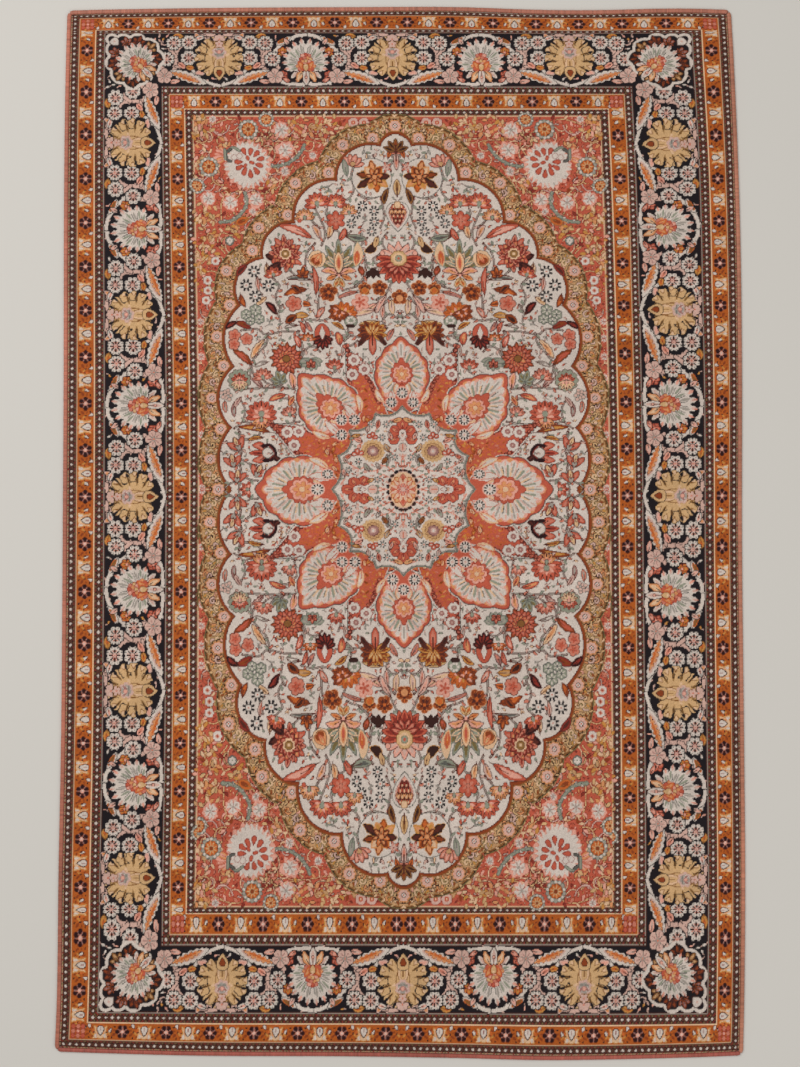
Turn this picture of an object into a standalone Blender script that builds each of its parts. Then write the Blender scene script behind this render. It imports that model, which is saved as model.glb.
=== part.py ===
"""Hand-knotted silk rug, lying flat, pile side up.

Metres, +Z up. The origin is the middle of the rug's underside, +Y runs towards its far end.
The knotted cloth is one flat solid. Its edge is bound all round: two side bindings, which wrap
the outermost warps, and two end bindings, which close the weave where the warps are cut.
"""

from collections import namedtuple
from math import cos, pi, radians, sin

import bmesh
import bpy
import numpy as np

LENGTH = 1.547
CLOTH_THICKNESS = 0.0040
PILE_RIM_RADIUS = 0.0008
BINDING_WIDTH = 0.0066
BINDING_HEIGHT = 0.0042
CORNER_RADIUS = 0.0105
GAP = 0.0003

SIDE_STEPS = 44
END_STEPS = 30
CORNER_STEPS = 6
SECTION_STEPS = 7

# The loom let the rug grow wider as it was woven, so the sides are told at stations down its length.
# "along" is a place on the length in half lengths, +1 at the far end; left and right are the edges' x.
SideStation = namedtuple("SideStation", "along left right")
SIDES = (
    SideStation(1.00, -0.4895, 0.4860),
    SideStation(0.80, -0.4930, 0.4935),
    SideStation(0.57, -0.4945, 0.4995),
    SideStation(0.33, -0.4948, 0.5020),
    SideStation(0.00, -0.4962, 0.5020),
    SideStation(-0.40, -0.4988, 0.5052),
    SideStation(-0.66, -0.5026, 0.5068),
    SideStation(-0.87, -0.5046, 0.5056),
    SideStation(-1.00, -0.5078, 0.5038),
)

# "across" is a place on the width in half widths, +1 at the right; far and near are the edges' y.
EndStation = namedtuple("EndStation", "across far near")
ENDS = (
    EndStation(-1.00, 0.7688, -0.7612),
    EndStation(-0.60, 0.7722, -0.7668),
    EndStation(-0.14, 0.7737, -0.7680),
    EndStation(0.18, 0.7737, -0.7706),
    EndStation(0.41, 0.7697, -0.7736),
    EndStation(0.58, 0.7694, -0.7728),
    EndStation(0.77, 0.7717, -0.7706),
    EndStation(1.00, 0.7700, -0.7668),
)
HALF_WIDTH = 0.507

COLOURS = {
    "silk_pile": (0.42, 0.20, 0.12, 1.0),
    "coral_silk": (0.55, 0.17, 0.11, 1.0),
}


def clear_scene():
    for obj in list(bpy.data.objects):
        bpy.data.objects.remove(obj)


def new_collection(name):
    collection = bpy.data.collections.new(name)
    bpy.context.scene.collection.children.link(collection)
    return collection


def material(name, roughness):
    made = bpy.data.materials.new(name)
    made.use_nodes = True
    shader = made.node_tree.nodes["Principled BSDF"]
    shader.inputs["Base Color"].default_value = COLOURS[name]
    shader.inputs["Roughness"].default_value = roughness
    shader.inputs["Metallic"].default_value = 0.0
    return made


def through(places, values, at):
    """The value at one place on the smooth curve that passes through every station."""
    order = np.argsort(places)
    x, y = np.array(places)[order], np.array(values)[order]
    slope = np.gradient(y, x)
    i = int(np.clip(np.searchsorted(x, at) - 1, 0, len(x) - 2))
    span = x[i + 1] - x[i]
    t = (at - x[i]) / span
    return (
        y[i] * (2 * t**3 - 3 * t**2 + 1)
        + y[i + 1] * (3 * t**2 - 2 * t**3)
        + slope[i] * span * (t**3 - 2 * t**2 + t)
        + slope[i + 1] * span * (t**3 - t**2)
    )


def left_at(y):
    return through([s.along for s in SIDES], [s.left for s in SIDES], 2 * y / LENGTH)


def right_at(y):
    return through([s.along for s in SIDES], [s.right for s in SIDES], 2 * y / LENGTH)


def far_at(x):
    return through([s.across for s in ENDS], [s.far for s in ENDS], x / HALF_WIDTH)


def near_at(x):
    return through([s.across for s in ENDS], [s.near for s in ENDS], x / HALF_WIDTH)


def corner_centres():
    """The centres of the four corner arcs, in the order far left, far right, near right, near left."""
    r = CORNER_RADIUS
    left, right, half = -HALF_WIDTH, HALF_WIDTH, LENGTH / 2
    return (
        (left_at(half) + r, far_at(left) - r),
        (right_at(half) - r, far_at(right) - r),
        (right_at(-half) - r, near_at(right) + r),
        (left_at(-half) + r, near_at(left) + r),
    )


def corner(number, inset, start, end, steps=CORNER_STEPS):
    """Points on one corner's arc, inset from the rug's edge, between two angles in degrees."""
    cx, cy = corner_centres()[number]
    radius = CORNER_RADIUS - inset
    angles = np.linspace(radians(start), radians(end), steps)
    return [(cx + radius * cos(a), cy + radius * sin(a)) for a in angles]


def end_edge(edge, first, last, inset):
    """Points along an end between two corners, without the corners' own points."""
    xs = np.linspace(first, last, END_STEPS)[1:-1]
    return [(x, edge(x) + inset) for x in xs]


def side_edge(edge, first, last, inset):
    ys = np.linspace(first, last, SIDE_STEPS)[1:-1]
    return [(edge(y) + inset, y) for y in ys]


def edges(inset):
    """The four edges between the corner arcs, clockwise from the far end, inset from the rug's edge."""
    far_left, far_right, near_right, near_left = corner_centres()
    return (
        end_edge(far_at, far_left[0], far_right[0], -inset),
        side_edge(right_at, far_right[1], near_right[1], -inset),
        end_edge(near_at, near_right[0], near_left[0], inset),
        side_edge(left_at, near_left[1], far_left[1], inset),
    )


def outline(inset):
    """The rug's closed outline, clockwise, inset from its edge."""
    far, right, near, left = edges(inset)
    return (
        corner(0, inset, 180, 90)
        + far
        + corner(1, inset, 90, 0)
        + right
        + corner(2, inset, 0, -90)
        + near
        + corner(3, inset, -90, -180)
        + left
    )


def curve_through(name, points, cyclic, dimensions):
    data = bpy.data.curves.new(name, "CURVE")
    data.dimensions = dimensions
    spline = data.splines.new("POLY")
    spline.points.add(len(points) - 1)
    for point, place in zip(spline.points, points):
        point.co = (place[0], place[1], 0.0, 1.0)
    spline.use_cyclic_u = cyclic
    return data


def knotted_cloth(collection, silk):
    """The one piece of knotted cloth: foundation and pile, its rim rounded where the pile ends."""
    data = curve_through("knotted_cloth", outline(BINDING_WIDTH + GAP), True, "2D")
    data.fill_mode = "BOTH"
    data.extrude = CLOTH_THICKNESS / 2 - PILE_RIM_RADIUS
    data.bevel_depth = PILE_RIM_RADIUS
    data.bevel_resolution = 1
    data.offset = -PILE_RIM_RADIUS
    cloth = bpy.data.objects.new("knotted_cloth", data)
    cloth.location.z = CLOTH_THICKNESS / 2
    data.materials.append(silk)
    collection.objects.link(cloth)
    return cloth


def binding_section():
    """The section of a binding, as (inset from the rug's edge, height): flat below, round over the top."""
    half = BINDING_WIDTH / 2
    shoulder = BINDING_HEIGHT * 0.35
    arc = np.linspace(0, pi, SECTION_STEPS)
    crown = [(half - half * cos(a), shoulder + (BINDING_HEIGHT - shoulder) * sin(a)) for a in arc]
    foot = half * 0.86
    return crown + [(half + foot, 0.0), (half - foot, 0.0)]


def binding(name, side, inset_edges, collection, silk):
    """One binding along one edge and round half of the corner at each of its ends."""
    first, square, second = side
    rows = []
    for inset, z in binding_section():
        trim = np.degrees(np.arcsin(GAP / 2 / (CORNER_RADIUS - inset)))
        start = corner(first, inset, square + 45 - trim, square)
        end = corner(second, inset, square, square - 45 + trim)
        rows.append([(x, y, z) for x, y in start + inset_edges(inset) + end])
    body = bmesh.new()
    rows = [[body.verts.new(place) for place in row] for row in rows]
    for row, after in zip(rows, rows[1:] + rows[:1]):
        for i in range(len(row) - 1):
            body.faces.new((row[i], row[i + 1], after[i + 1], after[i]))
    body.faces.new([row[0] for row in rows])
    body.faces.new([row[-1] for row in reversed(rows)])
    bmesh.ops.recalc_face_normals(body, faces=body.faces)
    data = bpy.data.meshes.new(name)
    body.to_mesh(data)
    body.free()
    data.materials.append(silk)
    data.shade_smooth()
    data.set_sharp_from_angle(angle=radians(50))
    collection.objects.link(bpy.data.objects.new(name, data))


def bindings(collection, silk):
    """The four bindings. They meet in the middle of each corner's arc, a hair apart."""
    sides = {
        "end_binding_far": (0, 90, 1),
        "side_binding_right": (1, 0, 2),
        "end_binding_near": (2, -90, 3),
        "side_binding_left": (3, -180, 0),
    }
    for number, (name, side) in enumerate(sides.items()):
        binding(name, side, lambda inset, n=number: edges(inset)[n], collection, silk)


def centre_on_origin(collection):
    """The edges aren't quite even, so the whole rug moves until its bounding box is about the origin."""
    edge = np.array(outline(0.0))
    middle = (edge.min(axis=0) + edge.max(axis=0)) / 2
    for obj in collection.objects:
        obj.location.x -= middle[0]
        obj.location.y -= middle[1]


def main():
    clear_scene()
    rug = new_collection("silk_rug")
    knotted_cloth(rug, material("silk_pile", 0.55))
    bindings(rug, material("coral_silk", 0.5))
    centre_on_origin(rug)


main()
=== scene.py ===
import bpy
import numpy as np
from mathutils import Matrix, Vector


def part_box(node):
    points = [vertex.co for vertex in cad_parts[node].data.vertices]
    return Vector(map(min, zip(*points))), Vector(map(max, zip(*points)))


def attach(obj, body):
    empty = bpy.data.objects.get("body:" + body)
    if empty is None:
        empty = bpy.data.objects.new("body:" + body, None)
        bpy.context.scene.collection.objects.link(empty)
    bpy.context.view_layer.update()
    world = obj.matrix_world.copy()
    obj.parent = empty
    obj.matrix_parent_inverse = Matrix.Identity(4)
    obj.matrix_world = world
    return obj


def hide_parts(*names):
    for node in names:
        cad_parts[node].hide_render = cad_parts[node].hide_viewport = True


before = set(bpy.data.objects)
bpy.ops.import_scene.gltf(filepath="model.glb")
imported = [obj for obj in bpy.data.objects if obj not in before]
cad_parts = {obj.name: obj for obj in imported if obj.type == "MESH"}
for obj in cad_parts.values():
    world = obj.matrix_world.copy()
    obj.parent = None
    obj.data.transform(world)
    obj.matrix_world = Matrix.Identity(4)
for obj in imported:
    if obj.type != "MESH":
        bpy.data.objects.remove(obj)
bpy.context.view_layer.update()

scene = bpy.context.scene
scene.view_settings.view_transform = "Standard"
scene.view_settings.look = "None"


def linear(hexColour):
    # an sRGB hex colour as the linear values that Blender works in
    values = np.array([int(hexColour[i : i + 2], 16) / 255 for i in (0, 2, 4)])
    return np.where(values <= 0.04045, values / 12.92, ((values + 0.055) / 1.055) ** 2.4)


def rgba(hexColour):
    return (*linear(hexColour).tolist(), 1.0)


# the cartoon: the pattern as a weaver plans it, knot by knot, in millimetres from the rug's middle

clothPlan = {
    "knot": 1.0,  # mm from knot to knot, each way
    "halfWidth": 500.0,  # mm
    "halfLength": 770.0,
}

# silk dyes, as they look once knotted
dyes = {
    "navy": "170F14",
    "ivory": "D3C4B8",
    "blush": "CFA899",
    "cream": "DDB590",
    "ochre": "B0581C",
    "honey": "C58742",
    "brown": "563024",
    "umber": "361A13",
    "maroon": "2A0A0C",
    "pink": "E0A08C",
    "gold": "CFA676",
    "tan": "C29468",
    "bronze": "85562A",
    "olive": "8E6636",
    "moss": "77653C",
    "coral": "BC5740",
    "rose": "C87862",
    "madder": "8A2E22",
    "orange": "C4622A",
    "apricot": "D6905F",
    "rust": "8A3D18",
    "sable": "54241A",
    "mauve": "9F7068",
    "slate": "5D5C55",
    "grey": "A0958A",
    "sage": "8E8F7C",
}
dyeNumber = {name: number for number, name in enumerate(dyes)}

quarterRows = int(clothPlan["halfLength"] / clothPlan["knot"])
quarterColumns = int(clothPlan["halfWidth"] / clothPlan["knot"])
cartoon = np.full((quarterRows, quarterColumns), dyeNumber["navy"], np.uint8)


def spot(x, y, turn=0.0, size=1.0, flip=False):
    # a place on the cartoon: a motif is drawn in complex numbers, x + yj, and its +x turned by turn degrees
    swing = size * np.exp(1j * np.radians(turn))
    return lambda figure: complex(x, y) + swing * (np.conj(figure) if flip else figure)


def within(place, x, y, turn=0.0, size=1.0, flip=False):
    inner = spot(x, y, turn, size, flip)
    return lambda figure: place(inner(figure))


def turned(place, angle):
    return within(place, 0, 0, angle)


def points(*pairs):
    return np.array([complex(x, y) for x, y in pairs])


def fill(outline, dye):
    # dyes every knot whose middle lies inside the outline
    x, y = outline.real / clothPlan["knot"], outline.imag / clothPlan["knot"]
    nextX, nextY = np.roll(x, -1), np.roll(y, -1)
    low, high = max(int(np.floor(y.min())), 0), min(int(np.ceil(y.max())) + 1, quarterRows)
    if low >= high or x.max() < 0:
        return
    middles = np.arange(low, high)[:, None] + 0.5
    row, edge = np.nonzero((y <= middles) != (nextY <= middles))
    share = (middles[row, 0] - y[edge]) / (nextY[edge] - y[edge])
    crossing = x[edge] + share * (nextX[edge] - x[edge])
    column = np.clip(np.ceil(crossing - 0.5), 0, quarterColumns).astype(int)
    crossings = np.zeros((high - low, quarterColumns + 1), int)
    np.add.at(crossings, (row, column), 1)
    inside = np.cumsum(crossings[:, :-1], axis=1) % 2 == 1
    cartoon[low:high][inside] = dyeNumber[dye]


def spaced(path, step=0.4):
    # the same path with a point every step
    run = np.concatenate([[0], np.cumsum(np.abs(np.diff(path)))])
    at = np.linspace(0, run[-1], max(int(run[-1] / step), 1) + 1)
    return np.interp(at, run, path.real) + 1j * np.interp(at, run, path.imag)


def line(path, width, dye, closed=False):
    # dyes every knot whose middle lies within half the width of the path
    if closed:
        path = np.append(path, path[0])
    centres = spaced(path) / clothPlan["knot"]
    reach = max(width / clothPlan["knot"] / 2, 0.55)  # a finer line would break up
    span = np.arange(-int(reach) - 1, int(reach) + 2)
    across, along = np.meshgrid(span, span)
    column = np.floor(centres.real)[:, None].astype(int) + across.ravel()
    row = np.floor(centres.imag)[:, None].astype(int) + along.ravel()
    near = np.hypot(column + 0.5 - centres.real[:, None], row + 0.5 - centres.imag[:, None]) <= reach
    near &= (column >= 0) & (column < quarterColumns) & (row >= 0) & (row < quarterRows)
    cartoon[row[near], column[near]] = dyeNumber[dye]


def shape(place, outline, dye, rim=None, edge=1.2):
    # a filled outline, with a rim that stands out edge mm beyond it
    outline = place(outline)
    if rim:
        line(outline, 2 * edge, rim, closed=True)
    fill(outline, dye)


def stroke(place, width, dye, *pairs):
    # a straight line, or a few joined, from point to point
    line(place(points(*pairs)), width, dye)


# outlines, all starting at or centred on their own origin and pointing along +x


def turns(count=28):
    return np.linspace(0, 2 * np.pi, count, endpoint=False)


def oval(length, breadth):
    t = turns(24)
    return length / 2 * np.cos(t) + 1j * breadth / 2 * np.sin(t)


dropFullness = 1.54  # twice what sin(t) * sin(t / 2) comes to at most


def drop(length, breadth):
    # pointed at the origin, round at its far end
    t = turns()
    return length * (1 - np.cos(t)) / 2 + 1j * breadth / dropFullness * np.sin(t) * np.sin(t / 2)


def flame(length, breadth):
    # round at the origin, pointed at its far end
    t = turns()
    return length * (1 - np.cos(t)) / 2 + 1j * breadth / dropFullness * np.sin(t) * np.abs(np.cos(t / 2))


def blade(length, breadth, bend=0.0, teeth=0, depth=0.0):
    # a leaf, pointed at both ends, bent to one side, with teeth along both edges
    t = turns(max(teeth * 6, 30))
    rise = np.sin(t) * np.sqrt(np.abs(np.sin(t)))
    saw = np.abs((t / (2 * np.pi) * teeth * 2) % 1 - 0.5) * 2 if teeth else 0
    x = length * (1 - np.cos(t)) / 2
    y = rise * (breadth / 2 - depth * saw) + bend * np.sin(x / length * np.pi)
    return x + 1j * y


def lobed(reach, count, cut=0.18, start=0.0):
    # round lobes with notches between them
    t = turns(count * 10)
    wave = np.abs(np.sin(count * (t - np.radians(start)) / 2))
    return reach * (1 - cut * (1 - wave)) * np.exp(1j * t)


def curve(*pairs):
    # a smooth path through a few points
    path = points(*pairs)
    if len(path) < 3:
        return spaced(path, 1.0)
    ends = np.concatenate([[2 * path[0] - path[1]], path, [2 * path[-1] - path[-2]]])
    t = np.linspace(0, 1, 12, endpoint=False)
    parts = []
    for a, b, c, d in zip(ends, ends[1:], ends[2:], ends[3:]):
        parts.append(
            0.5 * (2 * b + (c - a) * t + (2 * a - 5 * b + 4 * c - d) * t**2 + (3 * b - a - 3 * c + d) * t**3)
        )
    return np.append(np.concatenate(parts), path[-1])


def bulge(start, end, height):
    # a round lobe from one cusp to the next, height high to the left of the way between them
    chord = end - start
    half = abs(chord) / 2
    radius = (half**2 + height**2) / (2 * height)
    centre = (start + end) / 2 + 1j * chord / abs(chord) * (height - radius)
    first, last = np.angle(start - centre), np.angle(end - centre)
    sweep = (last - first) % (-2 * np.pi)
    return centre + abs(radius) * np.exp(1j * (first + sweep * np.linspace(0, 1, 24, endpoint=False)))


def disc(place, reach, dye, rim=None, edge=1.2, x=0.0, y=0.0):
    shape(place, complex(x, y) + oval(2 * reach, 2 * reach), dye, rim, edge)


# small motifs


def fan(count, spread=360.0, turn=0.0):
    # that many angles in degrees, evenly spread about turn
    return [turn - spread / 2 + spread / count * (k + 0.5) for k in range(count)]


def outermostFirst(petals):
    # so that the petals nearer the middle of a fan lie over those at its sides
    middle = (len(petals) - 1) / 2
    return [petals[k] for k in sorted(range(len(petals)), key=lambda k: -abs(k - middle))]


def bloom(
    place, count, reach, breadth, dye, rim=None, heart=None, core=2.0, turn=0.0, spread=360.0, edge=1.0,
):
    # a ring, or a fan, of petals about a heart
    petals = [turned(place, angle)(drop(reach, breadth)) for angle in fan(count, spread, turn)]
    if rim:
        for petal in petals:
            line(petal, 2 * edge, rim, closed=True)
    for petal in petals:
        fill(petal, dye)
    if heart:
        disc(place, core, heart)


def rays(place, count, near, far, width, dye, turn=0.0):
    # a ring of short lines that point away from the middle
    for angle in fan(count, turn=turn):
        way = np.exp(1j * np.radians(angle))
        line(place(np.array([near * way, far * way])), width, dye)


def beads(place, count, reach, size, dye):
    for k in range(count):
        bead = reach * np.exp(1j * np.radians(360 * k / count))
        disc(place, size, dye, x=bead.real, y=bead.imag)


def leaf(place, length, breadth, dye, rim=None, vein=None, bend=0.0, edge=1.0, teeth=0, depth=0.0):
    shape(place, blade(length, breadth, bend, teeth, depth), dye, rim, edge)
    if vein:
        t = np.linspace(0.15, 0.8, 8)
        line(place(length * t + 1j * bend * np.sin(t * np.pi)), 1.2, vein)


# borders

borderPlan = {
    "outerOchre": (21.0, 45.0),  # mm from the edge, as are the next two
    "mainBand": (61.0, 150.0),
    "innerOchre": (163.0, 185.0),
    # each ochre band's flowers up half a side and along half an end, and where the end's first one sits
    "outerFlowers": (10, 6, 23),
    "innerFlowers": (8, 4, 10),
    "dotGuards": ((12.8, 11), (53.5, 11), (157.0, 9), (192.3, 10)),  # the middle of each and its breadth
    "dotPitch": 9.4,  # mm from bead to bead
    "sideBay": 132.6,  # mm from one palmette to the next, up the sides
    "endBay": 130.5,  # and across the ends
}
# what lies from the edge inwards: each starts at this many mm and runs to the next
bandsInwards = (
    (0.0, "coral"),
    (6.0, "cream"),
    (7.6, "brown"),
    (19.4, "cream"),
    (21.0, "ochre"),
    (45.0, "cream"),
    (46.8, "brown"),
    (59.4, "grey"),
    (60.8, "brown"),
    (61.8, "navy"),
    (149.2, "brown"),
    (150.2, "grey"),
    (151.6, "brown"),
    (161.6, "cream"),
    (163.0, "ochre"),
    (185.0, "cream"),
    (186.6, "brown"),
    (198.0, "cream"),
    (199.5, "coral"),
)


def alongSide(depth, along, size=1.0):
    # a place in a side border, depth mm from the edge: its motif's +x runs up the rug, its +y outwards
    return spot(clothPlan["halfWidth"] - depth, along, 90, size, flip=True)


def alongEnd(depth, along, size=1.0):
    # the same in an end border: +x runs outwards from the rug's long middle line, +y out of the end
    return spot(along, clothPlan["halfLength"] - depth, 0, size)


def layBands():
    for depth, dye in bandsInwards:
        rows = int((clothPlan["halfLength"] - depth) / clothPlan["knot"])
        columns = int((clothPlan["halfWidth"] - depth) / clothPlan["knot"])
        cartoon[:rows, :columns] = dyeNumber[dye]


def dotGuard(depth, breadth):
    # white beads down a brown guard, with small coloured marks along its edges
    pitch = borderPlan["dotPitch"]
    marks = ((1.0, 0.3, 3.4, 2.4, "umber"), (0.55, 0.42, 2.6, 1.7, "madder"), (-0.55, 0.42, 2.4, 1.6, "moss"))
    for side, half in ((alongSide, clothPlan["halfLength"]), (alongEnd, clothPlan["halfWidth"])):
        reach = half - depth
        count = round(reach / pitch)
        for k in range(count + 1):
            place = side(depth, reach * k / count)
            halfGap = reach / count / 2
            for way in (-1, 1):
                for x, y, length, wide, dye in marks:
                    shape(within(place, halfGap * x, way * breadth * y), oval(length, wide), dye)
            shape(place, points((-2.4, 0), (0, -2.2), (2.4, 0), (0, 2.2)), "ivory", "umber", 0.9)


def darkFlower(place):
    # six dark petals parted by fine pink lines, about a pink heart
    for angle in (0, 62, 118, 180, 242, 298):
        shape(turned(place, angle), 5.6 + oval(9.0, 7.4), "maroon", "rust", 0.6)
    rays(place, 6, 3.0, 8.0, 1.0, "mauve")
    disc(place, 2.9, "pink")
    disc(place, 1.2, "ivory")


def tulip(place):
    # a pale flaring calyx, open at the outer edge, about a white bud outlined in grey
    skirt = points(
        (-10, 10), (-8.6, 4), (-7.4, -2), (-9, -8), (-5, -5), (5, -5), (9, -8), (7.4, -2), (8.6, 4),
        (10, 10), (5, 8.6), (0, 10.4), (-5, 8.6),
    )
    shape(place, oval(25, 22), "orange")
    shape(place, skirt, "cream", "honey", 1.2)
    for way in (-1, 1):
        stroke(place, 1.6, "apricot", (way * 6, -4), (way * 4.4, 3), (way * 6, 9))
        shape(within(place, way * 6.4, 6.4), oval(3.0, 7.0), "ivory")
        stroke(place, 1.0, "honey", (way * 8.4, -3), (way * 7, 3))
    bud = within(place, 0, 5.4, -90)
    shape(bud, drop(13.5, 8.6), "ivory", "umber", 1.2)
    stroke(bud, 1.2, "mauve", (6.5, 0), (11.5, 0))


def sprig(place, way):
    # what fills between tulip and flower: a white drop at the inner side, with madder and olive leaves
    shape(within(place, 0.6 * way, -5.0, 70 * way), drop(6.4, 4.0), "ivory", "sable", 0.9)
    leaves = (
        (-3.4, 4.2, 40, 6.6, 3.4, "rust"), (3.2, 2.6, -50, 5.6, 2.6, "honey"),
        (-4.2, -2.0, -30, 4.6, 2.2, "rust"), (4.6, 7.4, 20, 4.0, 2.2, "rust"),
        (-0.8, 8.8, 90, 3.0, 2.0, "umber"), (4.4, -5.6, 60, 4.4, 2.0, "rust"),
        (-5.0, -7.4, 10, 3.6, 2.0, "umber"), (0.4, 0.2, 80, 4.2, 2.0, "sable"),
        (6.4, 1.0, 30, 3.4, 1.8, "sable"),
    )
    for x, y, turn, length, breadth, dye in leaves:
        shape(within(place, x * way, y, turn), oval(length, breadth), dye)


def ochreGuard(band, sideFlowers, endFlowers, endStart):
    # dark flowers and tulips by turns, with sprigs between them
    depth = sum(band) / 2
    size = (band[1] - band[0]) / 24
    corner = clothPlan["halfLength"] - depth, clothPlan["halfWidth"] - depth
    lastFlower = corner[0] - 58 * size
    pitch = lastFlower / sideFlowers
    endPitch = (corner[1] - 64 * size - endStart) / endFlowers
    runs = (
        (alongSide, [pitch * k for k in range(sideFlowers + 1)], pitch),
        (alongEnd, [endStart + endPitch * k for k in range(endFlowers + 1)], endPitch),
    )
    for side, flowers, gap in runs:
        for at in flowers:
            darkFlower(side(depth, at, size=size))
            tulip(side(depth, at + gap / 2, size=size))
            sprig(side(depth, at + gap / 4, size=size), 1)
            sprig(side(depth, at + gap * 3 / 4, size=size), -1)
    if endStart > endPitch / 4:
        sprig(alongEnd(depth, endStart - endPitch / 4, size=size), -1)
    # at the corner, nine rose drops in rows
    place = spot(corner[1], corner[0], 0, size)
    for x in (-7, 0, 7):
        for y in (-7, 0, 7):
            shape(place, complex(x, y) + oval(5.4, 6.4), "rose" if (x + y) % 2 else "coral", "madder", 0.8)
    disc(place, 1.8, "pink")


def rosette(place):
    # eight round white lobes about a ring of short dark-red marks and a rose heart
    reach = 12.6
    shape(place, lobed(reach, 8, 0.22), "ivory", "navy", 1.2)
    rays(place, 8, reach * 0.80, reach * 0.94, 1.0, "slate")
    rays(place, 8, reach * 0.36, reach * 0.60, 2.2, "umber", turn=22)
    rays(place, 8, reach * 0.40, reach * 0.56, 1.0, "rose")
    disc(place, reach * 0.24, "blush", "madder", 0.6)
    disc(place, 1.2, "rose")


def whitePalmette(place):
    # slender jagged white petals shaded grey-green, over a cone of coral scales in a crown of leaves
    for angle, length, dye, tint in (
        (84, 23, "honey", "gold"), (56, 25, "ivory", "blush"), (30, 24, "apricot", "cream"),
    ):
        for way in (-1, 1):
            crown = within(place, way * 2, -17, -90 + way * angle)
            frond(crown, length, 10, dye, tint, "umber", way * 1.5, 3, 1.2)
    frond(within(place, 0, -16, -90), 27, 10, "ivory", "blush", "umber")
    petals = []
    for k, (angle, reach) in enumerate(((104, 33), (84, 36), (64, 39), (45, 41), (27, 43), (9, 44))):
        petals += [(k, way, reach, within(place, 0, -9, 90 - way * angle)) for way in (-1, 1)]
    for k, way, reach, petal in petals:
        line(petal(blade(reach, 16.0, 0, 7, 3.4)), 2.4, "navy", closed=True)
    for k, way, reach, petal in petals:
        shape(petal, blade(reach, 16.0, 0, 7, 3.4), "ivory")
    for k, way, reach, petal in petals:
        shape(within(petal, reach * 0.78, 0), blade(reach * 0.2, 4.0), "blush" if k % 2 else "pink")
        shade = within(petal, reach * (0.34 + 0.08 * (k % 2)), way * -2.4)
        shape(shade, blade(reach * 0.36, 3.4), "grey" if k % 3 == 2 else "sage")
        stroke(petal, 1.0, "slate", (reach * 0.32, way * 0.8), (reach * 0.66, way * 0.8))
        stroke(petal, 1.0, "rose", (reach * 0.90, -way), (reach * 0.99, 0))
    # the cone of scales
    for row, count in ((10, 3), (5, 4), (0, 5), (-5, 6), (-10, 5)):
        for k in range(count):
            off = k - (count - 1) / 2
            scale = within(place, off * 5.2, row - abs(off) * 1.6, -90 - off * 10)
            dye = ("coral", "apricot", "pink", "rose", "gold")[(2 * k + count) % 5]
            shape(scale, flame(7.4, 5.6), dye, "madder", 0.7)
    for way in (-1, 1):
        flank = within(place, way * 5, -18, 90 - way * 26)
        frond(flank, 15, 7, "orange", "apricot", "coral", bend=way * 2.0)
    shape(within(place, 0, -20, 90), drop(12, 8), "gold", "rust", 1.0)
    disc(place, 2.2, "cream", y=-10)
    disc(place, 2.0, "pink", "umber", 0.7, y=-30)


def yellowPalmette(place):
    # scalloped yellow lobes parted by olive lines, a grey flower above and a brown-hearted drop below
    lobesHere = ((9, 30, 8), (18, 24, 9.5), (27, 13, 9), (29, 0, 8.4), (25, -11, 9), (15, -19, 8.5))
    for way in (-1, 1):
        foot = within(place, way * 17, -19, 90 - way * 104)
        frond(foot, 20, 11, "blush", "pink", "navy", teeth=3, depth=1.4)
        for x, y, reach in lobesHere:
            shape(within(place, way * x, y), lobed(reach, 5, 0.24, 31 * x), "gold", "navy", 1.1)
    shape(place, oval(42, 50), "gold")
    for way in (-1, 1):
        for x, y, reach in lobesHere:
            lean = np.degrees(np.angle(complex(way * x, y + 2)))
            shape(within(place, way * x, y, lean), blade(reach * 0.9, reach * 0.5), "cream")
            for side in (-1, 1):
                stroke(within(place, way * x, y, lean + side * 34), 1.0, "bronze", (0, 0), (reach * 0.7, 0))
        for x, y, lean, length in (
            (7, 22, 22, 13), (13, 17, 46, 14), (16, 7, 74, 15), (16, -3, 96, 15), (13, -11, 124, 14),
            (7, -18, 150, 9),
        ):
            parting = within(place, way * x, y, 90 - way * lean)
            shape(parting, blade(length, 3.4), "olive")
            stroke(parting, 1.2, "umber", (length * 0.3, 0), (length * 0.9, 0))
            shape(parting, length * 0.72 + blade(length * 0.6, 4.0), "navy")
        line(place(curve((way * 4, 26), (way * 9, 12), (way * 9.5, -4), (way * 5, -16))), 1.3, "bronze")
        shape(within(place, way * 12, 7, 90 - way * 70), oval(8, 3.6), "cream")
    shape(within(place, 0, -19, 90), flame(27, 15), "cream", "bronze", 1.0)
    shape(within(place, 0, -16, 90), flame(21, 7), "gold", "tan", 0.8)
    stroke(place, 1.2, "bronze", (0, -14), (0, -4))
    shape(within(place, 0, -12, -90), flame(23, 17), "gold", "navy", 1.0)
    shape(within(place, 0, -29.0, 90), drop(11, 8), "rust", "umber", 0.8)
    shape(place, 11j + lobed(11.4, 7, 0.2), "blush", "tan", 0.8)
    shape(place, 11j + lobed(8.0, 7, 0.2), "grey")
    for way in (-1, 1):
        shape(within(place, way * 4.6, 13, 90 - way * 30), oval(7, 3.2), "mauve", "ivory", 0.7)
        stroke(place, 1.0, "slate", (way * 1.5, 7), (way * 6.5, 6.6))
    disc(place, 2.6, "pink", "mauve", 0.8, y=12)
    bloom(within(place, 0, 25), 5, 6.4, 4.6, "blush", "bronze", "rose", 1.3, turn=90)
    bloom(within(place, 0, 33), 5, 9.0, 5.6, "blush", "navy", "rose", 1.5, turn=90, spread=230)


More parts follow.
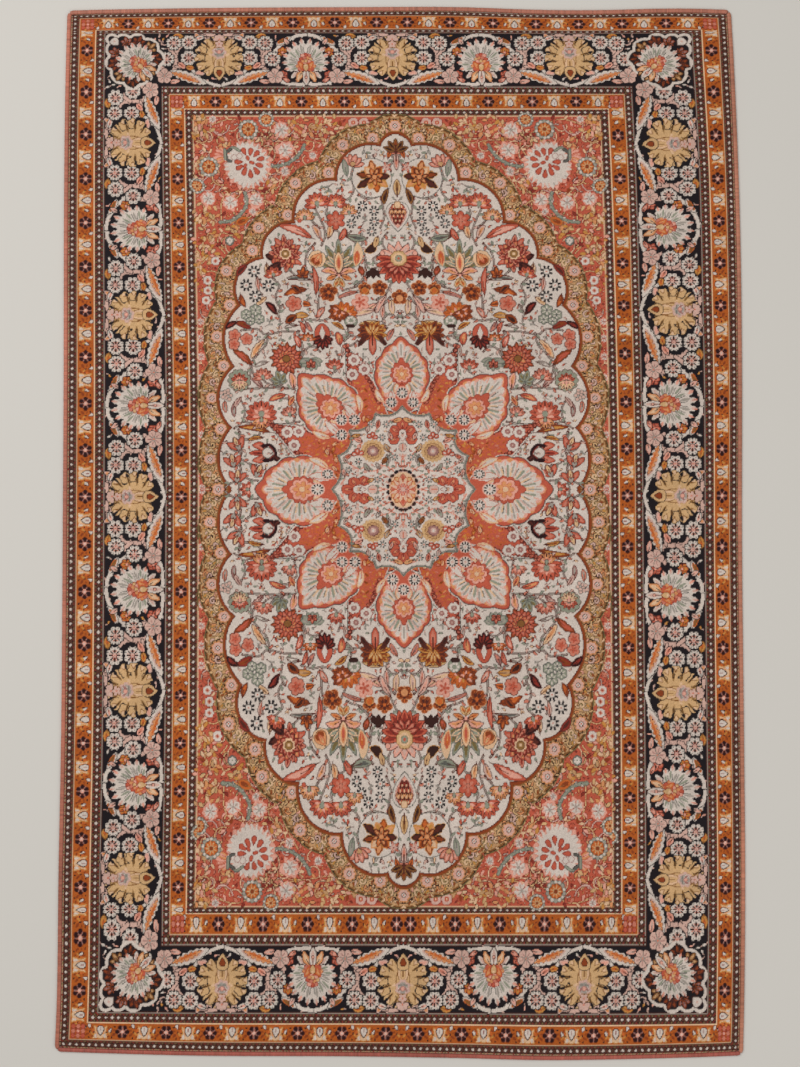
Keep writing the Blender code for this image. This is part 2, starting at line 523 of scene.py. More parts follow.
def borderVine(place, dye, width, knobs, *pairs):
    # a pale stem on the dark ground, with a small leaf off it every knobs mm
    path = place(curve(*pairs))
    line(path, width + 2.2, "navy")
    if knobs:
        scrolls(path, knobs, 5.4, ((dye, "navy"), ("blush", "navy"), (dye, "navy")))
    line(path, width, dye)


def halfBay(place, length, corner=False):
    # from the middle of a yellow palmette, at 0, to that of the next white one, at length; +y is outwards
    white = within(place, length, 0, flip=True, turn=180)
    # the stems: from the flower where they meet, across the band and round each palmette
    for dye, width, knobs, *pairs in (
        ("ivory", 4.4, 12, (0, -44), (14, -40), (28, -33), (38, -21), (44, -7), (46, 2)),
        ("blush", 5.6, 9, (84, -28), (74, -22), (67, -14), (66, 2), (65, 14), (58, 22), (50, 26)),
        ("blush", 5.0, 9, (66, 4), (72, 12), (76, 18), (74, 26)),
        ("blush", 5.0, 9, (84, -28), (88, -16), (86, -4)),
        ("blush", 3.4, 0, (66, -12), (56, -14), (48, -10)),
        ("blush", 5.0, 8, (8, 40), (18, 41), (30, 38), (40, 35)),
        ("blush", 3.0, 0, (22, 40), (20, 34), (14, 36)),
    ):
        borderVine(place, dye, width, knobs, *pairs)
    # leaves
    frond(within(place, 78, -20, 200), 62, 19, "ivory", "blush", "navy", -1.5, 10, 3.2)
    leaf(within(place, 75, -21.6, 201), 48, 12.6, "apricot", "sable", "orange", -1.0, 0.5, 9, 5.0)
    leaf(within(place, 62, -27.4, 201), 26, 5.0, "orange", teeth=6, depth=2.0)
    fronds(
        place,
        (76, -38, 172, 16, 7, "pink", "blush", "navy"),
        (63, -6, 215, 15, 8, "pink", "rose", "navy"),
        (50, -13, 190, 12, 8, "honey", "orange", "sable"),
        (30, 33, 60, 13, 8, "blush", "apricot", "navy", 0, 3, 1.2),
        (56, 38, 8, 14, 8.4, "honey", "orange", "bronze"),
        (22, 38, -18, 16, 7, "ivory", "pink", "navy"),
    )
    if not corner:
        borderVine(white, "ivory", 5.0, 8, (0, 41), (14, 39), (26, 32), (36, 26), (43, 17), (50, 9))
        borderVine(white, "ivory", 4.6, 10, (0, -38), (8, -42), (20, -41), (34, -39), (46, -32))
        frond(within(white, 46, 24, 150), 27, 10, "ivory", "cream", "navy", 1.0, 5, 1.8)
        leaf(within(white, 42, 27, 152), 17, 4.6, "bronze", "orange")
        for x, y, dye in ((35, -28, "coral"), (35, 11, "orange")):
            for lean in (-50, 50, 0, 130, 230):
                frond(within(white, x, y, 90 + lean), 8.6, 6.4, dye, "rose" if y < 0 else "honey", "sable")
            disc(white, 1.8, "pink", x=x, y=y)
        fronds(
            white,
            (24, -38, 30, 12, 6, "rose", "pink", "navy"),
            (26, 24, 60, 12, 6, "blush", "pink", "navy"),
        )
    meeting = within(place, 84, -28)
    bloom(meeting, 5, 12.5, 10.5, "blush", "navy", "grey", 2.8, turn=20)
    rays(meeting, 5, 3.4, 9.0, 1.2, "mauve", turn=20)
    rays(meeting, 5, 3.0, 8.0, 1.0, "slate", turn=56)
    disc(meeting, 1.4, "rose")
    for side, x, y in ((place, 46, 28), (place, 46, 2), (white, 61, 27), (white, 50, 0)):
        rosette(within(side, x, y))


def cornerPalmette(place):
    # place's +y points out of the rug's corner; a scalloped stem holds it, with a flower in each scallop
    cusps = points((-7, 44), (7, 44), (21, 29), (36, 11), (38, -18), (22, -37), (2, -32))
    path = lobes(cusps, (12, 6, 8, 8, 8, 7))
    halves = (place, lambda figure: place(-np.conj(figure)))
    middle, room = place(0), 42.0
    for dye in ("navy", "ivory"):
        for half in halves:
            around = half(path) - middle
            kept = middle + np.minimum(around.real, room) + 1j * np.minimum(around.imag, room)
            line(kept, 4.4, dye)
            if dye == "navy":
                fill(kept, dye)
    leaves = (
        (13, 29, 60, 13, "rust", "mauve"), (27, 15, 25, 15, "sable", "rust"),
        (33, -6, -5, 15, "bronze", "tan"), (27, -26, -50, 15, "umber", "rust"),
        (9, -36, -100, 12, "bronze", "tan"),
    )
    for half in halves:
        for x, y, lean, reach, dye, tint in leaves:
            maple(within(half, x * 0.86, y * 0.86, lean), reach, dye, tint, "umber")
    whitePalmette(within(place, 0, -5, size=0.9))
    shape(within(place, 0, 33, 90), drop(15, 14), "ivory", "umber", 1.4)
    disc(place, 1.8, "blush", y=42)


def layBorders():
    layBands()
    bands = borderPlan
    for depth, breadth in bands["dotGuards"]:
        dotGuard(depth, breadth)
    ochreGuard(bands["outerOchre"], *bands["outerFlowers"])
    ochreGuard(bands["innerOchre"], *bands["innerFlowers"])
    depth = sum(bands["mainBand"]) / 2
    corner = spot(clothPlan["halfWidth"] - depth, clothPlan["halfLength"] - depth, -45)
    for side, bay, count in ((alongSide, bands["sideBay"], 5), (alongEnd, bands["endBay"], 3)):
        for k in range(count):
            yellowFirst = k % 2 == 0
            at = bay * (k if yellowFirst else k + 1)
            place = side(depth, at) if yellowFirst else within(side(depth, at), 0, 0, 180, flip=True)
            halfBay(place, bay, corner=k == count - 1)
        for k in range(0, count, 2):
            yellowPalmette(side(depth, bay * k))
        for k in range(1, count, 2):
            whitePalmette(side(depth, bay * k))
    # small leaves wherever the dark ground lies bare
    kinds = (("blush", "navy"), ("ivory", "navy"), ("pink", "navy"), ("ivory", "slate"), ("honey", "navy"))
    chance = np.random.default_rng(29)
    sprigs("navy", 0, 640, 350, 440, 4.4, 4.0, kinds, chance, "blush")
    sprigs("navy", 620, 710, 0, 370, 4.4, 4.0, kinds, chance, "blush")
    cornerPalmette(corner)


# the field: an ivory medallion on coral, about a star of eight petals

fieldPlan = {
    "corner": 300.0,  # mm from the rug's long middle line to the field's side
    "bandBreadth": 29.0,  # mm, the gold band about the medallion
}
# the medallion's cusps, from its far point round to its side, and how far each lobe between them swells
medallionCusps = points(
    (-22, 525), (22, 525), (88, 473), (152, 410), (200, 357), (235, 287), (246, 193), (251, 99), (252, 2),
    (251, -95),
)
medallionSwells = (18, 22, 23, 18, 22, 19, 21, 18, 18)
bandRosettes = (  # where the flowers on the gold band sit
    (0, 556), (34, 537), (79, 528), (101, 486), (151, 471), (163, 423), (207, 404), (217, 370), (256, 339),
    (252, 288), (272, 239), (263, 194), (281, 145), (268, 97), (284, 50), (272, 1),
)


def lobes(cusps, swells):
    # round lobes from cusp to cusp
    arcs = [bulge(a, b, s) for a, b, s in zip(cusps, cusps[1:], swells)]
    return np.concatenate(arcs + [cusps[-1:]])


def medallion(beyond):
    # the medallion's outline, or one that runs beside it, beyond mm further out
    path = lobes(medallionCusps, medallionSwells)
    way = np.gradient(path)
    return path + 1j * way / np.abs(way) * beyond


def closedByMiddle(path):
    # closes a path round the quarter's corner at the rug's middle
    return np.concatenate([path, [complex(-60, path[-1].imag), complex(-60, path[0].imag)]])


def frond(place, length, breadth, dye, tint="cream", rim="sable", bend=0.0, teeth=0, depth=0.0):
    # a leaf with a fine dark outline, a paler middle and a dark vein from its stalk
    shape(place, blade(length, breadth, bend, teeth, depth), dye, rim, 1.0)
    shape(within(place, length * 0.2, 0), blade(length * 0.68, breadth * 0.5, bend * 0.8), tint)
    t = np.linspace(-0.12, 0.5, 8)
    line(place(length * t + 1j * bend * np.sin(np.maximum(t, 0) * np.pi)), 1.0, rim)


def fronds(place, *rows):
    # each row: where, which way, and what frond takes
    for x, y, turn, *leafPlan in rows:
        frond(within(place, x, y, turn), *leafPlan)


vineLeaves = (("rose", "sable"), ("sage", "slate"), ("blush", "sable"))


def vine(*pairs, dye="grey", rim="sable", width=1.4, step=11, breadth=7.0, kinds=vineLeaves):
    # a stem drawn as two dark lines with a pale one between, and small leaves to either side of it
    path = curve(*pairs)
    line(path, width + 1.8, rim)
    line(path, width, dye)
    scrolls(path, step, breadth, kinds)


def scrolls(path, step, breadth, kinds):
    # small curling leaves to either side of a path, turn by turn
    path = spaced(path, 1.0)
    way = np.gradient(path)
    for k, at in enumerate(range(int(step / 2), len(path) - 1, int(step))):
        here = path[at]
        turn = np.degrees(np.angle(way[at]))
        side = 1 if k % 2 else -1
        dye, rim = kinds[k % len(kinds)]
        place = spot(here.real, here.imag, turn + side * 55)
        leaf(place, breadth, breadth * 0.42, dye, rim, bend=side * breadth * 0.12, edge=0.7)


def curls(path, step, reach, kinds):
    # hooked tendrils along a path, each way in turn
    path = spaced(path, 1.0)
    way = np.gradient(path)
    hook = reach * np.linspace(1.15, 0.2, 16) * np.exp(1j * np.linspace(-0.6, 4.8, 16))
    for k, at in enumerate(range(int(step / 2), len(path) - 1, int(step))):
        here = path[at]
        turn = np.degrees(np.angle(way[at])) + 180 * (k % 2)
        tendril = spot(here.real, here.imag, turn, flip=k % 4 > 1)(hook)
        dye, rim = kinds[k % len(kinds)]
        line(tendril, 4.0, rim)
        line(tendril, 2.2, dye)


def sprigs(ground, low, high, near, far, reach, pitch, kinds, chance, stalk="sable"):
    # a sprig wherever the ground is still bare for reach mm about: from low to high up the rug, and from
    # near to far across it, with one try in every square of pitch mm
    half = int(reach / clothPlan["knot"])
    for y in np.arange(low, high, pitch):
        for x in np.arange(near, far, pitch):
            x0, y0 = x + chance.uniform(0, pitch), y + chance.uniform(0, pitch)
            column, row = int(x0 / clothPlan["knot"]), int(y0 / clothPlan["knot"])
            bare = cartoon[max(row - half, 0) : row + half + 1, max(column - half, 0) : column + half + 1]
            turn, kind = chance.uniform(0, 360), kinds[chance.integers(len(kinds))]
            if not (bare == dyeNumber[ground]).all():
                continue
            place = spot(x0, y0, turn)
            long = reach * 1.25
            if reach < 4.5:
                leaf(within(place, -long / 2, 0), long, long * 0.46, *kind, edge=0.6)
                stroke(place, 1.0, stalk, (-long * 0.9, long * 0.3), (-long / 2, 0))
                continue
            arch = curve((-long, -long * 0.35), (-long * 0.2, long * 0.12), (long, -long * 0.1))
            line(place(arch), 1.0, stalk)
            for at, lean, size in ((-0.45, 60, 0.75), (0.0, -55, 0.85), (0.35, 40, 0.75), (0.6, -12, 0.7)):
                other = kinds[chance.integers(len(kinds))]
                leaf(within(place, long * at, 0, lean), long * size, long * size * 0.42, *other, edge=0.6)


def ringFlower(place, reach, dye="ivory", heart="sable", eye="cream"):
    shape(place, lobed(reach, 7, 0.12), dye, "madder", 0.8)
    disc(place, reach * 0.44, heart)
    disc(place, reach * 0.18, eye)


def navyRosette(place, reach=7.4, count=8, dye="navy"):
    # a white round with a ring of dark dashes
    disc(place, reach, "ivory")
    rays(place, count, reach * 0.55, reach * 0.88, max(reach * 0.34, 1.9), dye)
    disc(place, reach * 0.42, "ivory", "slate", 0.6)
    disc(place, reach * 0.14, "rose")


def starRosette(place, reach=8.0):
    disc(place, reach, "ivory")
    rays(place, 10, reach * 0.58, reach * 0.86, 2.1, "navy")
    disc(place, reach * 0.22, "blush")


def carnation(place, reach, dye="coral", tint="apricot", rim="sable", calyx="sage", count=7, spread=200):
    # a fan of pointed petals from a small calyx; +x is the way that it opens
    petals = [turned(place, angle) for angle in fan(count, spread)]
    for petal in outermostFirst(petals):
        shape(petal, blade(reach, reach * 0.46), dye, rim, 0.8)
    for k, petal in enumerate(petals):
        shape(petal, blade(reach * 0.6, reach * 0.2), tint if k % 2 else "pink")
        stroke(petal, 1.0, rim, (reach * 0.62, 0), (reach * 0.92, 0))
    shape(within(place, -reach * 0.22, 0), drop(reach * 0.5, reach * 0.34), calyx, rim, 0.7)


def starLily(place, reach, count, dye, tips, inner, heart):
    petals = [turned(place, 360 / count * k) for k in range(count)]
    for petal in petals:
        shape(petal, blade(reach, reach * 0.36), dye, "sable", 0.8)
    for k, petal in enumerate(petals):
        shape(petal, blade(reach, reach * 0.34), dye)
        shape(within(petal, reach * 0.62, 0), blade(reach * 0.4, reach * 0.17), tips)
        shape(turned(place, 360 / count * (k + 0.5)), blade(reach * 0.72, reach * 0.24), inner)
        stroke(petal, 1.0, inner, (reach * 0.2, 0), (reach * 0.62, 0))
    disc(place, reach * 0.16, heart)


def rimmedPetals(place, count, reach, dye, rim, heart=None, core=3.0, breadth=None, turn=0.0, tint=None):
    breadth = breadth or reach * 5.2 / count
    bloom(place, count, reach, breadth, dye, rim, None, core, turn, edge=0.9)
    if tint:
        bloom(place, count, reach * 0.62, breadth * 0.4, tint, turn=turn)
    if heart:
        disc(place, core, heart, rim, 0.6)


def medallionBand():
    # two fine lines round its outside, and its gold ground
    for beyond, dye in ((3.6, "moss"), (2.0, "umber"), (0.8, "bronze"), (-1.4, "tan")):
        fill(closedByMiddle(medallion(fieldPlan["bandBreadth"] + beyond)), dye)
    # scrollwork, in rows along the band
    rows = (
        (21.0, 11, 5.4, (("gold", "umber"), ("blush", "moss"), ("cream", "umber"), ("apricot", "sable"))),
        (8.5, 11, 5.4, (("cream", "umber"), ("pink", "bronze"), ("gold", "moss"), ("apricot", "umber"))),
        (14.5, 13, 4.6, (("blush", "umber"), ("gold", "umber"), ("cream", "moss"))),
    )
    for offset, step, reach, kinds in rows:
        curls(medallion(offset), step, reach, kinds)
    for offset in (26.5, 3.5):
        leaves = (("honey", "moss"), ("cream", "bronze"), ("rust", "olive"), ("gold", "umber"))
        scrolls(medallion(offset), 7, 6.0, leaves)
    for x, y in bandRosettes:
        place = spot(x, y)
        for reach, dye, rim, edge in (
            (11.2, "tan", "umber", 1.0), (9.6, "apricot", "bronze", 0.7), (8.4, "blush", None, 0),
        ):
            shape(place, lobed(reach, 9, 0.2), dye, rim, edge)
        rays(place, 9, 4.6, 8.0, 1.0, "pink", turn=20)
        for reach, dye in ((3.8, "sable"), (2.8, "ivory"), (1.2, "coral")):
            disc(place, reach, dye)


def medallionEdge():
    for grow, dye in ((5.4, "bronze"), (4.2, "rust"), (1.0, "sable"), (0.0, "ivory")):
        fill(closedByMiddle(medallion(grow)), dye)


# what grows on the ivory


def brownStar(place):
    # long brown and orange petals, uneven, as if blown about
    for angle, length, dye, tint in (
        (78, 25, "rust", "apricot"), (10, 27, "umber", "rust"), (-32, 31, "umber", "sable"),
        (-100, 24, "rust", "orange"), (-142, 24, "honey", "apricot"), (176, 23, "umber", "sable"),
        (124, 18, "orange", "rust"), (45, 20, "apricot", "cream"), (-68, 20, "apricot", "honey"),
    ):
        petal = turned(place, angle)
        shape(petal, blade(length, 13.0, 0, 4, 2.0), dye, "honey", 0.7)
        shape(within(petal, length * 0.34, 0), blade(length * 0.56, 6.0), tint)
    for k in range(7):
        frond(turned(place, 51 * k + 12), 13, 6, "orange" if k % 2 else "rust", "apricot", "umber")
    disc(place, 3.0, "apricot", "rust", 0.8)


def redTulip(place):
    # a dark crescent of a calyx, holding three red petals and a white bud
    for way in (-1, 1):
        frond(within(place, -2, way * 4, way * 24), 21, 11, "coral", "rose", bend=way * 3.4)
    frond(within(place, -2, 0), 24, 8, "coral", "madder")
    shape(place, complex(-5, 0) + oval(15, 16), "ivory", "slate", 1.0)
    line(place(curve((2, 11), (-8, 12), (-15, 5), (-16, -4), (-10, -11), (0, -12))), 5.4, "maroon")
    line(place(curve((-6, 11), (-13, 4), (-14, -3), (-8, -10))), 1.4, "madder")
    frond(within(place, -14, -4, 215), 12, 7, "maroon", "sable", bend=2.0)


def eggBud(place, reach):
    # a coral bud in a cream ring
    shape(place, lobed(reach, 8, 0.07), "cream", "slate", 0.9)
    shape(within(place, -reach * 0.75, 0), flame(reach * 1.6, reach * 1.35), "apricot", "sable", 0.8)
    shape(within(place, -reach * 0.7, 0), flame(reach * 0.95, reach * 1.1), "rust")
    frond(within(place, -reach * 0.4, 0), reach * 1.0, reach * 0.34, "apricot", "gold", "coral")


def greenPalmette(place):
    # a grey-green fan with a coral drop at its middle and orange leaves below
    for angle in (-78, 78, -54, 54, -30, 30, 0):
        length = 42 - abs(angle) * 0.13
        frond(within(place, 0, -8, 90 + angle), length, 11, "sage", "moss", "slate", teeth=3, depth=1.6)
    for angle in (-66, -42, -16, 16, 42, 66):
        frond(within(place, 0, -8, 90 + angle), 24, 6, "cream", "sage", "slate")
    for way in (-1, 1):
        low = within(place, way * 2, -18, 90 - way * 78)
        frond(low, 24, 10, "pink", "apricot", bend=3.0 * way, teeth=4, depth=1.4)
        frond(within(place, way * 4, -20, 90 - way * 112), 15, 6, "apricot", "orange", "sable")
        frond(within(place, 0, -24, 90 - way * 150), 14, 7, "gold", "orange", "bronze")
    shape(within(place, 0, -16, 90), blade(31, 13), "cream", "sable", 0.9)
    shape(within(place, 0, -12, 90), blade(23, 7.6), "apricot")
    shape(within(place, 0, -10, 90), blade(18, 4.2), "coral")
    disc(place, 2.2, "pink", "sable", 0.6, y=-20)


def coralPalmette(place):
    # on the long middle line: pink above, coral and rose below, a yellow ring at its heart
    for angle in (90, 64, 116, 40, 140):
        frond(within(place, 0, -2, angle), 33, 12, "pink", "blush", "sable")
    for k, angle in enumerate((14, 166, -8, 188, -30, 210, -52, 232, -74, 254, -90)):
        frond(turned(place, angle), 33 - (k > 7) * 2, 11, "coral", "rose" if k % 2 else "madder", "sable")
    for angle in (200, 225, 250, 290, 315, 340):
        frond(turned(place, angle), 22, 8, "madder", "rose", "sable")
    shape(within(place, 0, 6), lobed(11.5, 9, 0.1), "gold", "olive", 1.0)
    disc(place, 8.0, "cream", "gold", 0.8, y=6)
    disc(place, 4.6, "sage", "moss", 0.8, y=6)
    disc(place, 1.8, "coral", y=6)
    for way in (-1, 1):
        disc(place, 3.2, "pink", "sable", 0.8, x=way * 24, y=14)


def heartShield(place):
    # a white-rimmed heart of small coral and cream petals, point down
    shape(place, flame(44, 34), "ivory", "slate", 1.0)
    shape(within(place, 3, 0), flame(36, 26), "pink", "mauve", 0.7)
    for row, count, dye in ((9, 3, "coral"), (16, 4, "apricot"), (23, 3, "coral"), (30, 2, "madder")):
        for k in range(count):
            frond(within(place, row + 3, (k - (count - 1) / 2) * 6.0, 180), 8.5, 5.4, dye, "cream", "sable")
    disc(place, 4.4, "cream", "bronze", 0.8, x=4)


def redLotus(place):
    # three rings of pointed petals, no two alike, about a cream heart
    reach = 27.0
    chance = np.random.default_rng(12)
    for turnBy, far, dye, tint in (
        (0, 1.0, "coral", "rose"), (15, 0.78, "coral", "apricot"), (5, 0.58, "madder", "rose"),
    ):
        for k in range(12):
            length = reach * far * chance.uniform(0.86, 1.08)
            turn = 30 * k + turnBy + chance.uniform(-5, 5)
            pair = (dye, tint) if k % 3 else ("rose", "madder")
            frond(turned(place, turn), length, reach * 0.32, *pair, "sable", chance.uniform(-1.6, 1.6))
    shape(place, lobed(reach * 0.34, 8, 0.2), "cream", "madder", 1.0)
    disc(place, reach * 0.20, "olive", "sable", 0.8)
    disc(place, reach * 0.08, "cream")


def lotusBud(place, reach, dye, tip, count=5, spread=150, calyx="tan"):
    # overlapping petals that open towards +x
    foot = within(place, -reach * 0.4, 0)
    for angle in outermostFirst(fan(count, spread)):
        frond(turned(foot, angle), reach * 1.4, reach * 0.6, dye, tip)
    shape(within(place, -reach * 0.5, 0), drop(reach * 0.6, reach * 0.5), calyx, "sable", 0.7)


def trefoil(place, reach):
    # three coral petals, round at their ends, each with a slim white leaf in it
    for angle in (-75, 75, 0):
        petal = turned(place, angle)
        shape(petal, drop(reach, reach * 0.8), "coral", "sable", 0.8)
        shape(petal, reach * 0.35 + blade(reach * 0.5, reach * 0.24), "ivory")


def cloudRust(place, reach):
    # soft lobed flowers of rust and umber, paler at the rim
    petals = [turned(place, angle) for angle in (90, 20, 160, 250, 310)]
    for petal in petals:
        shape(petal, reach * 0.5 + oval(reach * 0.95, reach * 0.85), "rust", "apricot", 0.8)
    for petal in petals:
        shape(petal, reach * 0.42 + oval(reach * 0.5, reach * 0.34), "sable")
        stroke(petal, 1.0, "orange", (reach * 0.6, 0), (reach * 0.9, 0))
    disc(place, reach * 0.2, "orange")


def maple(place, reach, dye, tint, rim="sable"):
    for angle, far in ((-95, 0.6), (95, 0.6), (-48, 0.85), (48, 0.85), (0, 1.0)):
        frond(turned(place, angle), reach * far, reach * 0.42, dye, tint, rim)


# leaves: where, which way, how long and broad, their dye and their middle's
looseLeaves = (
    (12, 508, 100, 18, 6, "orange", "rust"), (14, 462, 285, 24, 8, "bronze", "umber"),
    (104, 388, 100, 20, 8, "cream", "apricot"), (116, 388, 62, 22, 8, "blush", "apricot"),
    (88, 384, 118, 21, 8, "coral", "rose"), (76, 392, 190, 29, 10, "sage", "slate"),
    (124, 304, 86, 40, 7, "coral", "rose"), (62, 308, -18, 30, 5, "rose", "mauve"),
    (132, 326, 3, 34, 5, "grey", "slate"), (128, 388, 22, 52, 14, "coral", "pink"),
    (196, 350, 260, 22, 7, "cream", "apricot"), (176, 352, 28, 24, 11, "maroon", "sable"),
    (226, 348, 312, 22, 9, "madder", "sable"), (236, 304, 250, 20, 7, "rust", "orange"),
    (210, 330, 265, 20, 5, "blush", "rose"), (183, 274, 50, 24, 9, "maroon", "madder"),
    (198, 300, 320, 18, 8, "cream", "tan"), (132, 288, 5, 18, 8, "orange", "rust"),
    (138, 312, 345, 34, 12, "rust", "orange"), (146, 306, 40, 18, 8, "rust", "umber"),
    (136, 272, 355, 22, 9, "honey", "tan"), (154, 272, 320, 20, 11, "rust", "umber"),
    (112, 284, 305, 18, 8, "rose", "blush"), (84, 250, 32, 20, 6, "honey", "rust"),
    (20, 302, 300, 30, 8, "blush", "pink"), (34, 290, 320, 24, 8, "pink", "cream"),
    (38, 280, 345, 30, 9, "blush", "cream"), (12, 296, 265, 22, 8, "cream", "blush"),
    (24, 288, 275, 20, 6, "blush", "rose"), (46, 306, 10, 18, 4, "grey", "ivory"),
    (10, 250, 300, 20, 7, "rose", "mauve"), (32, 262, 350, 30, 6, "gold", "honey"),
    (90, 226, 78, 20, 10, "coral", "apricot"), (88, 208, 100, 18, 5, "blush", "grey"),
    (140, 262, 240, 18, 6, "mauve", "rose"), (142, 244, 70, 18, 6, "coral", "rose"),
    (152, 256, 350, 20, 4, "grey", "ivory"), (150, 222, 70, 20, 8, "coral", "pink"),
    (202, 234, 305, 34, 10, "cream", "apricot"), (222, 196, 40, 34, 12, "rust", "coral"),
    (222, 252, 22, 24, 10, "madder", "rust"), (242, 262, 328, 20, 8, "maroon", "madder"),
    (198, 200, 340, 20, 5, "grey", "ivory"), (160, 160, 80, 24, 9, "pink", "apricot"),
    (172, 150, 340, 26, 8, "coral", "apricot"), (176, 162, 30, 22, 6, "grey", "slate"),
    (206, 162, 40, 20, 7, "mauve", "blush"), (158, 148, 300, 18, 7, "apricot", "coral"),
    (248, 136, 270, 20, 6, "mauve", "grey"), (238, 146, 300, 18, 6, "blush", "mauve"),
    (262, 140, 265, 18, 6, "rose", "grey"), (196, 92, 10, 46, 8, "rust", "honey"),
    (206, 84, 350, 22, 5, "honey", "rust"), (196, 104, 345, 26, 5, "blush", "grey"),
)


def ivoryGround():
    # stems first, so that every flower lies over them
    for pairs in (
        ((8, 520), (5, 505), (14, 492), (28, 498), (34, 512)), ((20, 470), (10, 478), (14, 500)),
        ((20, 455), (30, 450), (44, 447), (58, 452)),
        ((64, 494), (68, 480), (64, 462), (74, 446), (88, 452)),
        ((24, 452), (22, 436), (20, 420), (26, 404)), ((100, 408), (106, 424), (104, 440), (112, 452)),
        ((100, 396), (92, 400), (80, 392), (70, 398)), ((116, 404), (126, 412), (132, 422)),
        ((114, 378), (108, 392), (112, 410), (122, 432)),
        ((46, 388), (58, 372), (50, 350), (50, 332), (60, 318), (84, 310)),
        ((76, 390), (58, 376), (48, 352), (52, 330), (66, 316)),
        ((124, 380), (136, 366), (138, 344), (130, 330), (112, 316)), ((16, 396), (24, 384), (20, 372)),
        ((28, 364), (38, 356), (30, 346), (40, 342)), ((0, 336), (12, 320), (20, 306), (34, 296)),
        ((120, 264), (121, 290), (118, 316), (126, 336), (130, 352)), ((92, 306), (86, 292), (90, 284)),
        ((150, 262), (134, 266), (118, 264), (104, 268)), ((150, 328), (160, 338), (168, 342)),
        ((168, 292), (178, 286), (184, 300), (178, 318), (190, 330)), ((178, 262), (180, 276), (174, 288)),
        ((206, 326), (210, 312), (204, 304)), ((150, 247), (176, 246), (200, 242), (212, 250), (236, 248)),
        ((196, 244), (200, 226), (212, 212), (222, 196), (218, 178)),
        ((152, 246), (146, 226), (150, 204), (166, 188)),
        ((120, 216), (130, 224), (142, 218), (150, 200), (164, 186)),
        ((150, 158), (180, 160), (214, 160), (246, 158)), ((170, 160), (196, 166), (212, 180)),
        ((228, 204), (222, 190), (226, 176)), ((96, 216), (92, 204), (94, 190), (106, 180)),
        ((62, 238), (78, 240), (96, 240), (110, 244)), ((64, 232), (72, 226), (84, 222)),
        ((78, 250), (76, 240), (84, 232)), ((56, 294), (66, 284), (64, 272)),
        ((14, 300), (28, 286), (48, 280), (64, 276)), ((4, 268), (16, 274), (26, 264), (20, 252)),
        ((238, 140), (232, 126), (236, 108), (248, 98)), ((152, 108), (180, 104), (206, 104), (236, 108)),
        ((160, 110), (156, 130), (170, 144), (190, 144)), ((206, 100), (216, 84), (238, 82), (242, 96)),
        ((240, 92), (236, 70), (240, 48), (238, 24), (242, 0)), ((238, 60), (252, 66), (260, 78)),
        ((240, 40), (252, 38), (262, 46)), ((238, 50), (226, 42), (216, 40)),
        ((240, 14), (254, 10), (262, 2)), ((238, 22), (226, 16), (214, 14)),
    ):
        vine(*pairs)
    # the lowest stars and rings
    disc(spot(37, 478), 29, "ivory", "slate", 1.2)
    disc(spot(37, 478), 27, "ivory")
    brownStar(spot(33, 480))
    for x, y, turn, length, breadth, dye, tint in looseLeaves:
        teeth, depth = (int(length / 5), 1.8) if length > 32 and breadth > 9 else (0, 0)
        frond(spot(x, y, turn), length, breadth, dye, tint, bend=0.06 * length, teeth=teeth, depth=depth)
    # the far point of the medallion
    for k, angle in enumerate((90, 55, 125, 20, 160)):
        frond(spot(0, 518, angle), 19, 7, "bronze", "umber" if k % 2 else "rust")
    frond(spot(0, 516, 270), 26, 7, "blush", "rose")
    starLily(spot(15, 494), 8, 5, "rose", "coral", "blush", "madder")
    lotusBud(spot(64, 501, 110), 13, "rose", "pink")
    frond(spot(74, 482, 80), 24, 8, "sage", "grey", "slate")
    heartShield(spot(0, 442, -90))
    frond(spot(0, 452, 90), 24, 10, "gold", "bronze")
    # second lobe
    carnation(spot(92, 438, 95), 17)
    carnation(spot(119, 438, 78), 19)
    rimmedPetals(spot(92, 415), 6, 14, "coral", "sable", "rose", 2.6, breadth=8.6, tint="rose")
    carnation(spot(138, 418, 85), 15, "apricot", "cream")
    disc(spot(146, 414), 2.6, "coral", "sable", 0.8)
    for x, y in ((52, 436), (35, 429), (62, 424), (35, 413), (69, 410), (39, 398)):
        navyRosette(spot(x, y))
    carnation(spot(72, 426, 85), 13, "apricot", "cream", count=5)
    # brown horns, and flowers of rust
    line(curve((32, 386), (36, 376), (44, 372)), 8.0, "gold")
    shape(spot(33, 382, -40), blade(22, 12, -3), "umber", "honey", 0.8)
    frond(spot(30, 390, -70), 16, 7, "gold", "tan")
    crag = points((-9, -5), (-8, 3), (0, 8), (8, 3), (9, -6), (3, -2), (0, -6), (-4, -1)) * 1.1
    shape(spot(38, 334), crag, "umber", "maroon", 0.8)
    cloudRust(spot(29, 314), 12)
    cloudRust(spot(51, 313), 10)
    cloudRust(spot(105, 307), 14)
    cloudRust(spot(0, 300), 12)
    disc(spot(0, 298), 5, "apricot", "rust", 1.0)
    disc(spot(51, 310), 4, "orange", "honey", 0.8)
    # on the long middle line
    coralPalmette(spot(0, 352))
    # the green palmette and what is about it
    greenPalmette(spot(89, 352))
    shape(spot(64, 346, 96), blade(36, 14, 2), "cream", "sage", 0.9)
    frond(spot(63, 349, 96), 20, 8, "coral", "orange", "apricot")
    frond(spot(58, 346, 250), 14, 8, "rust", "coral")
    eggBud(spot(121, 357, 125), 13)
    maple(spot(143, 332, 95), 13, "rust", "orange")
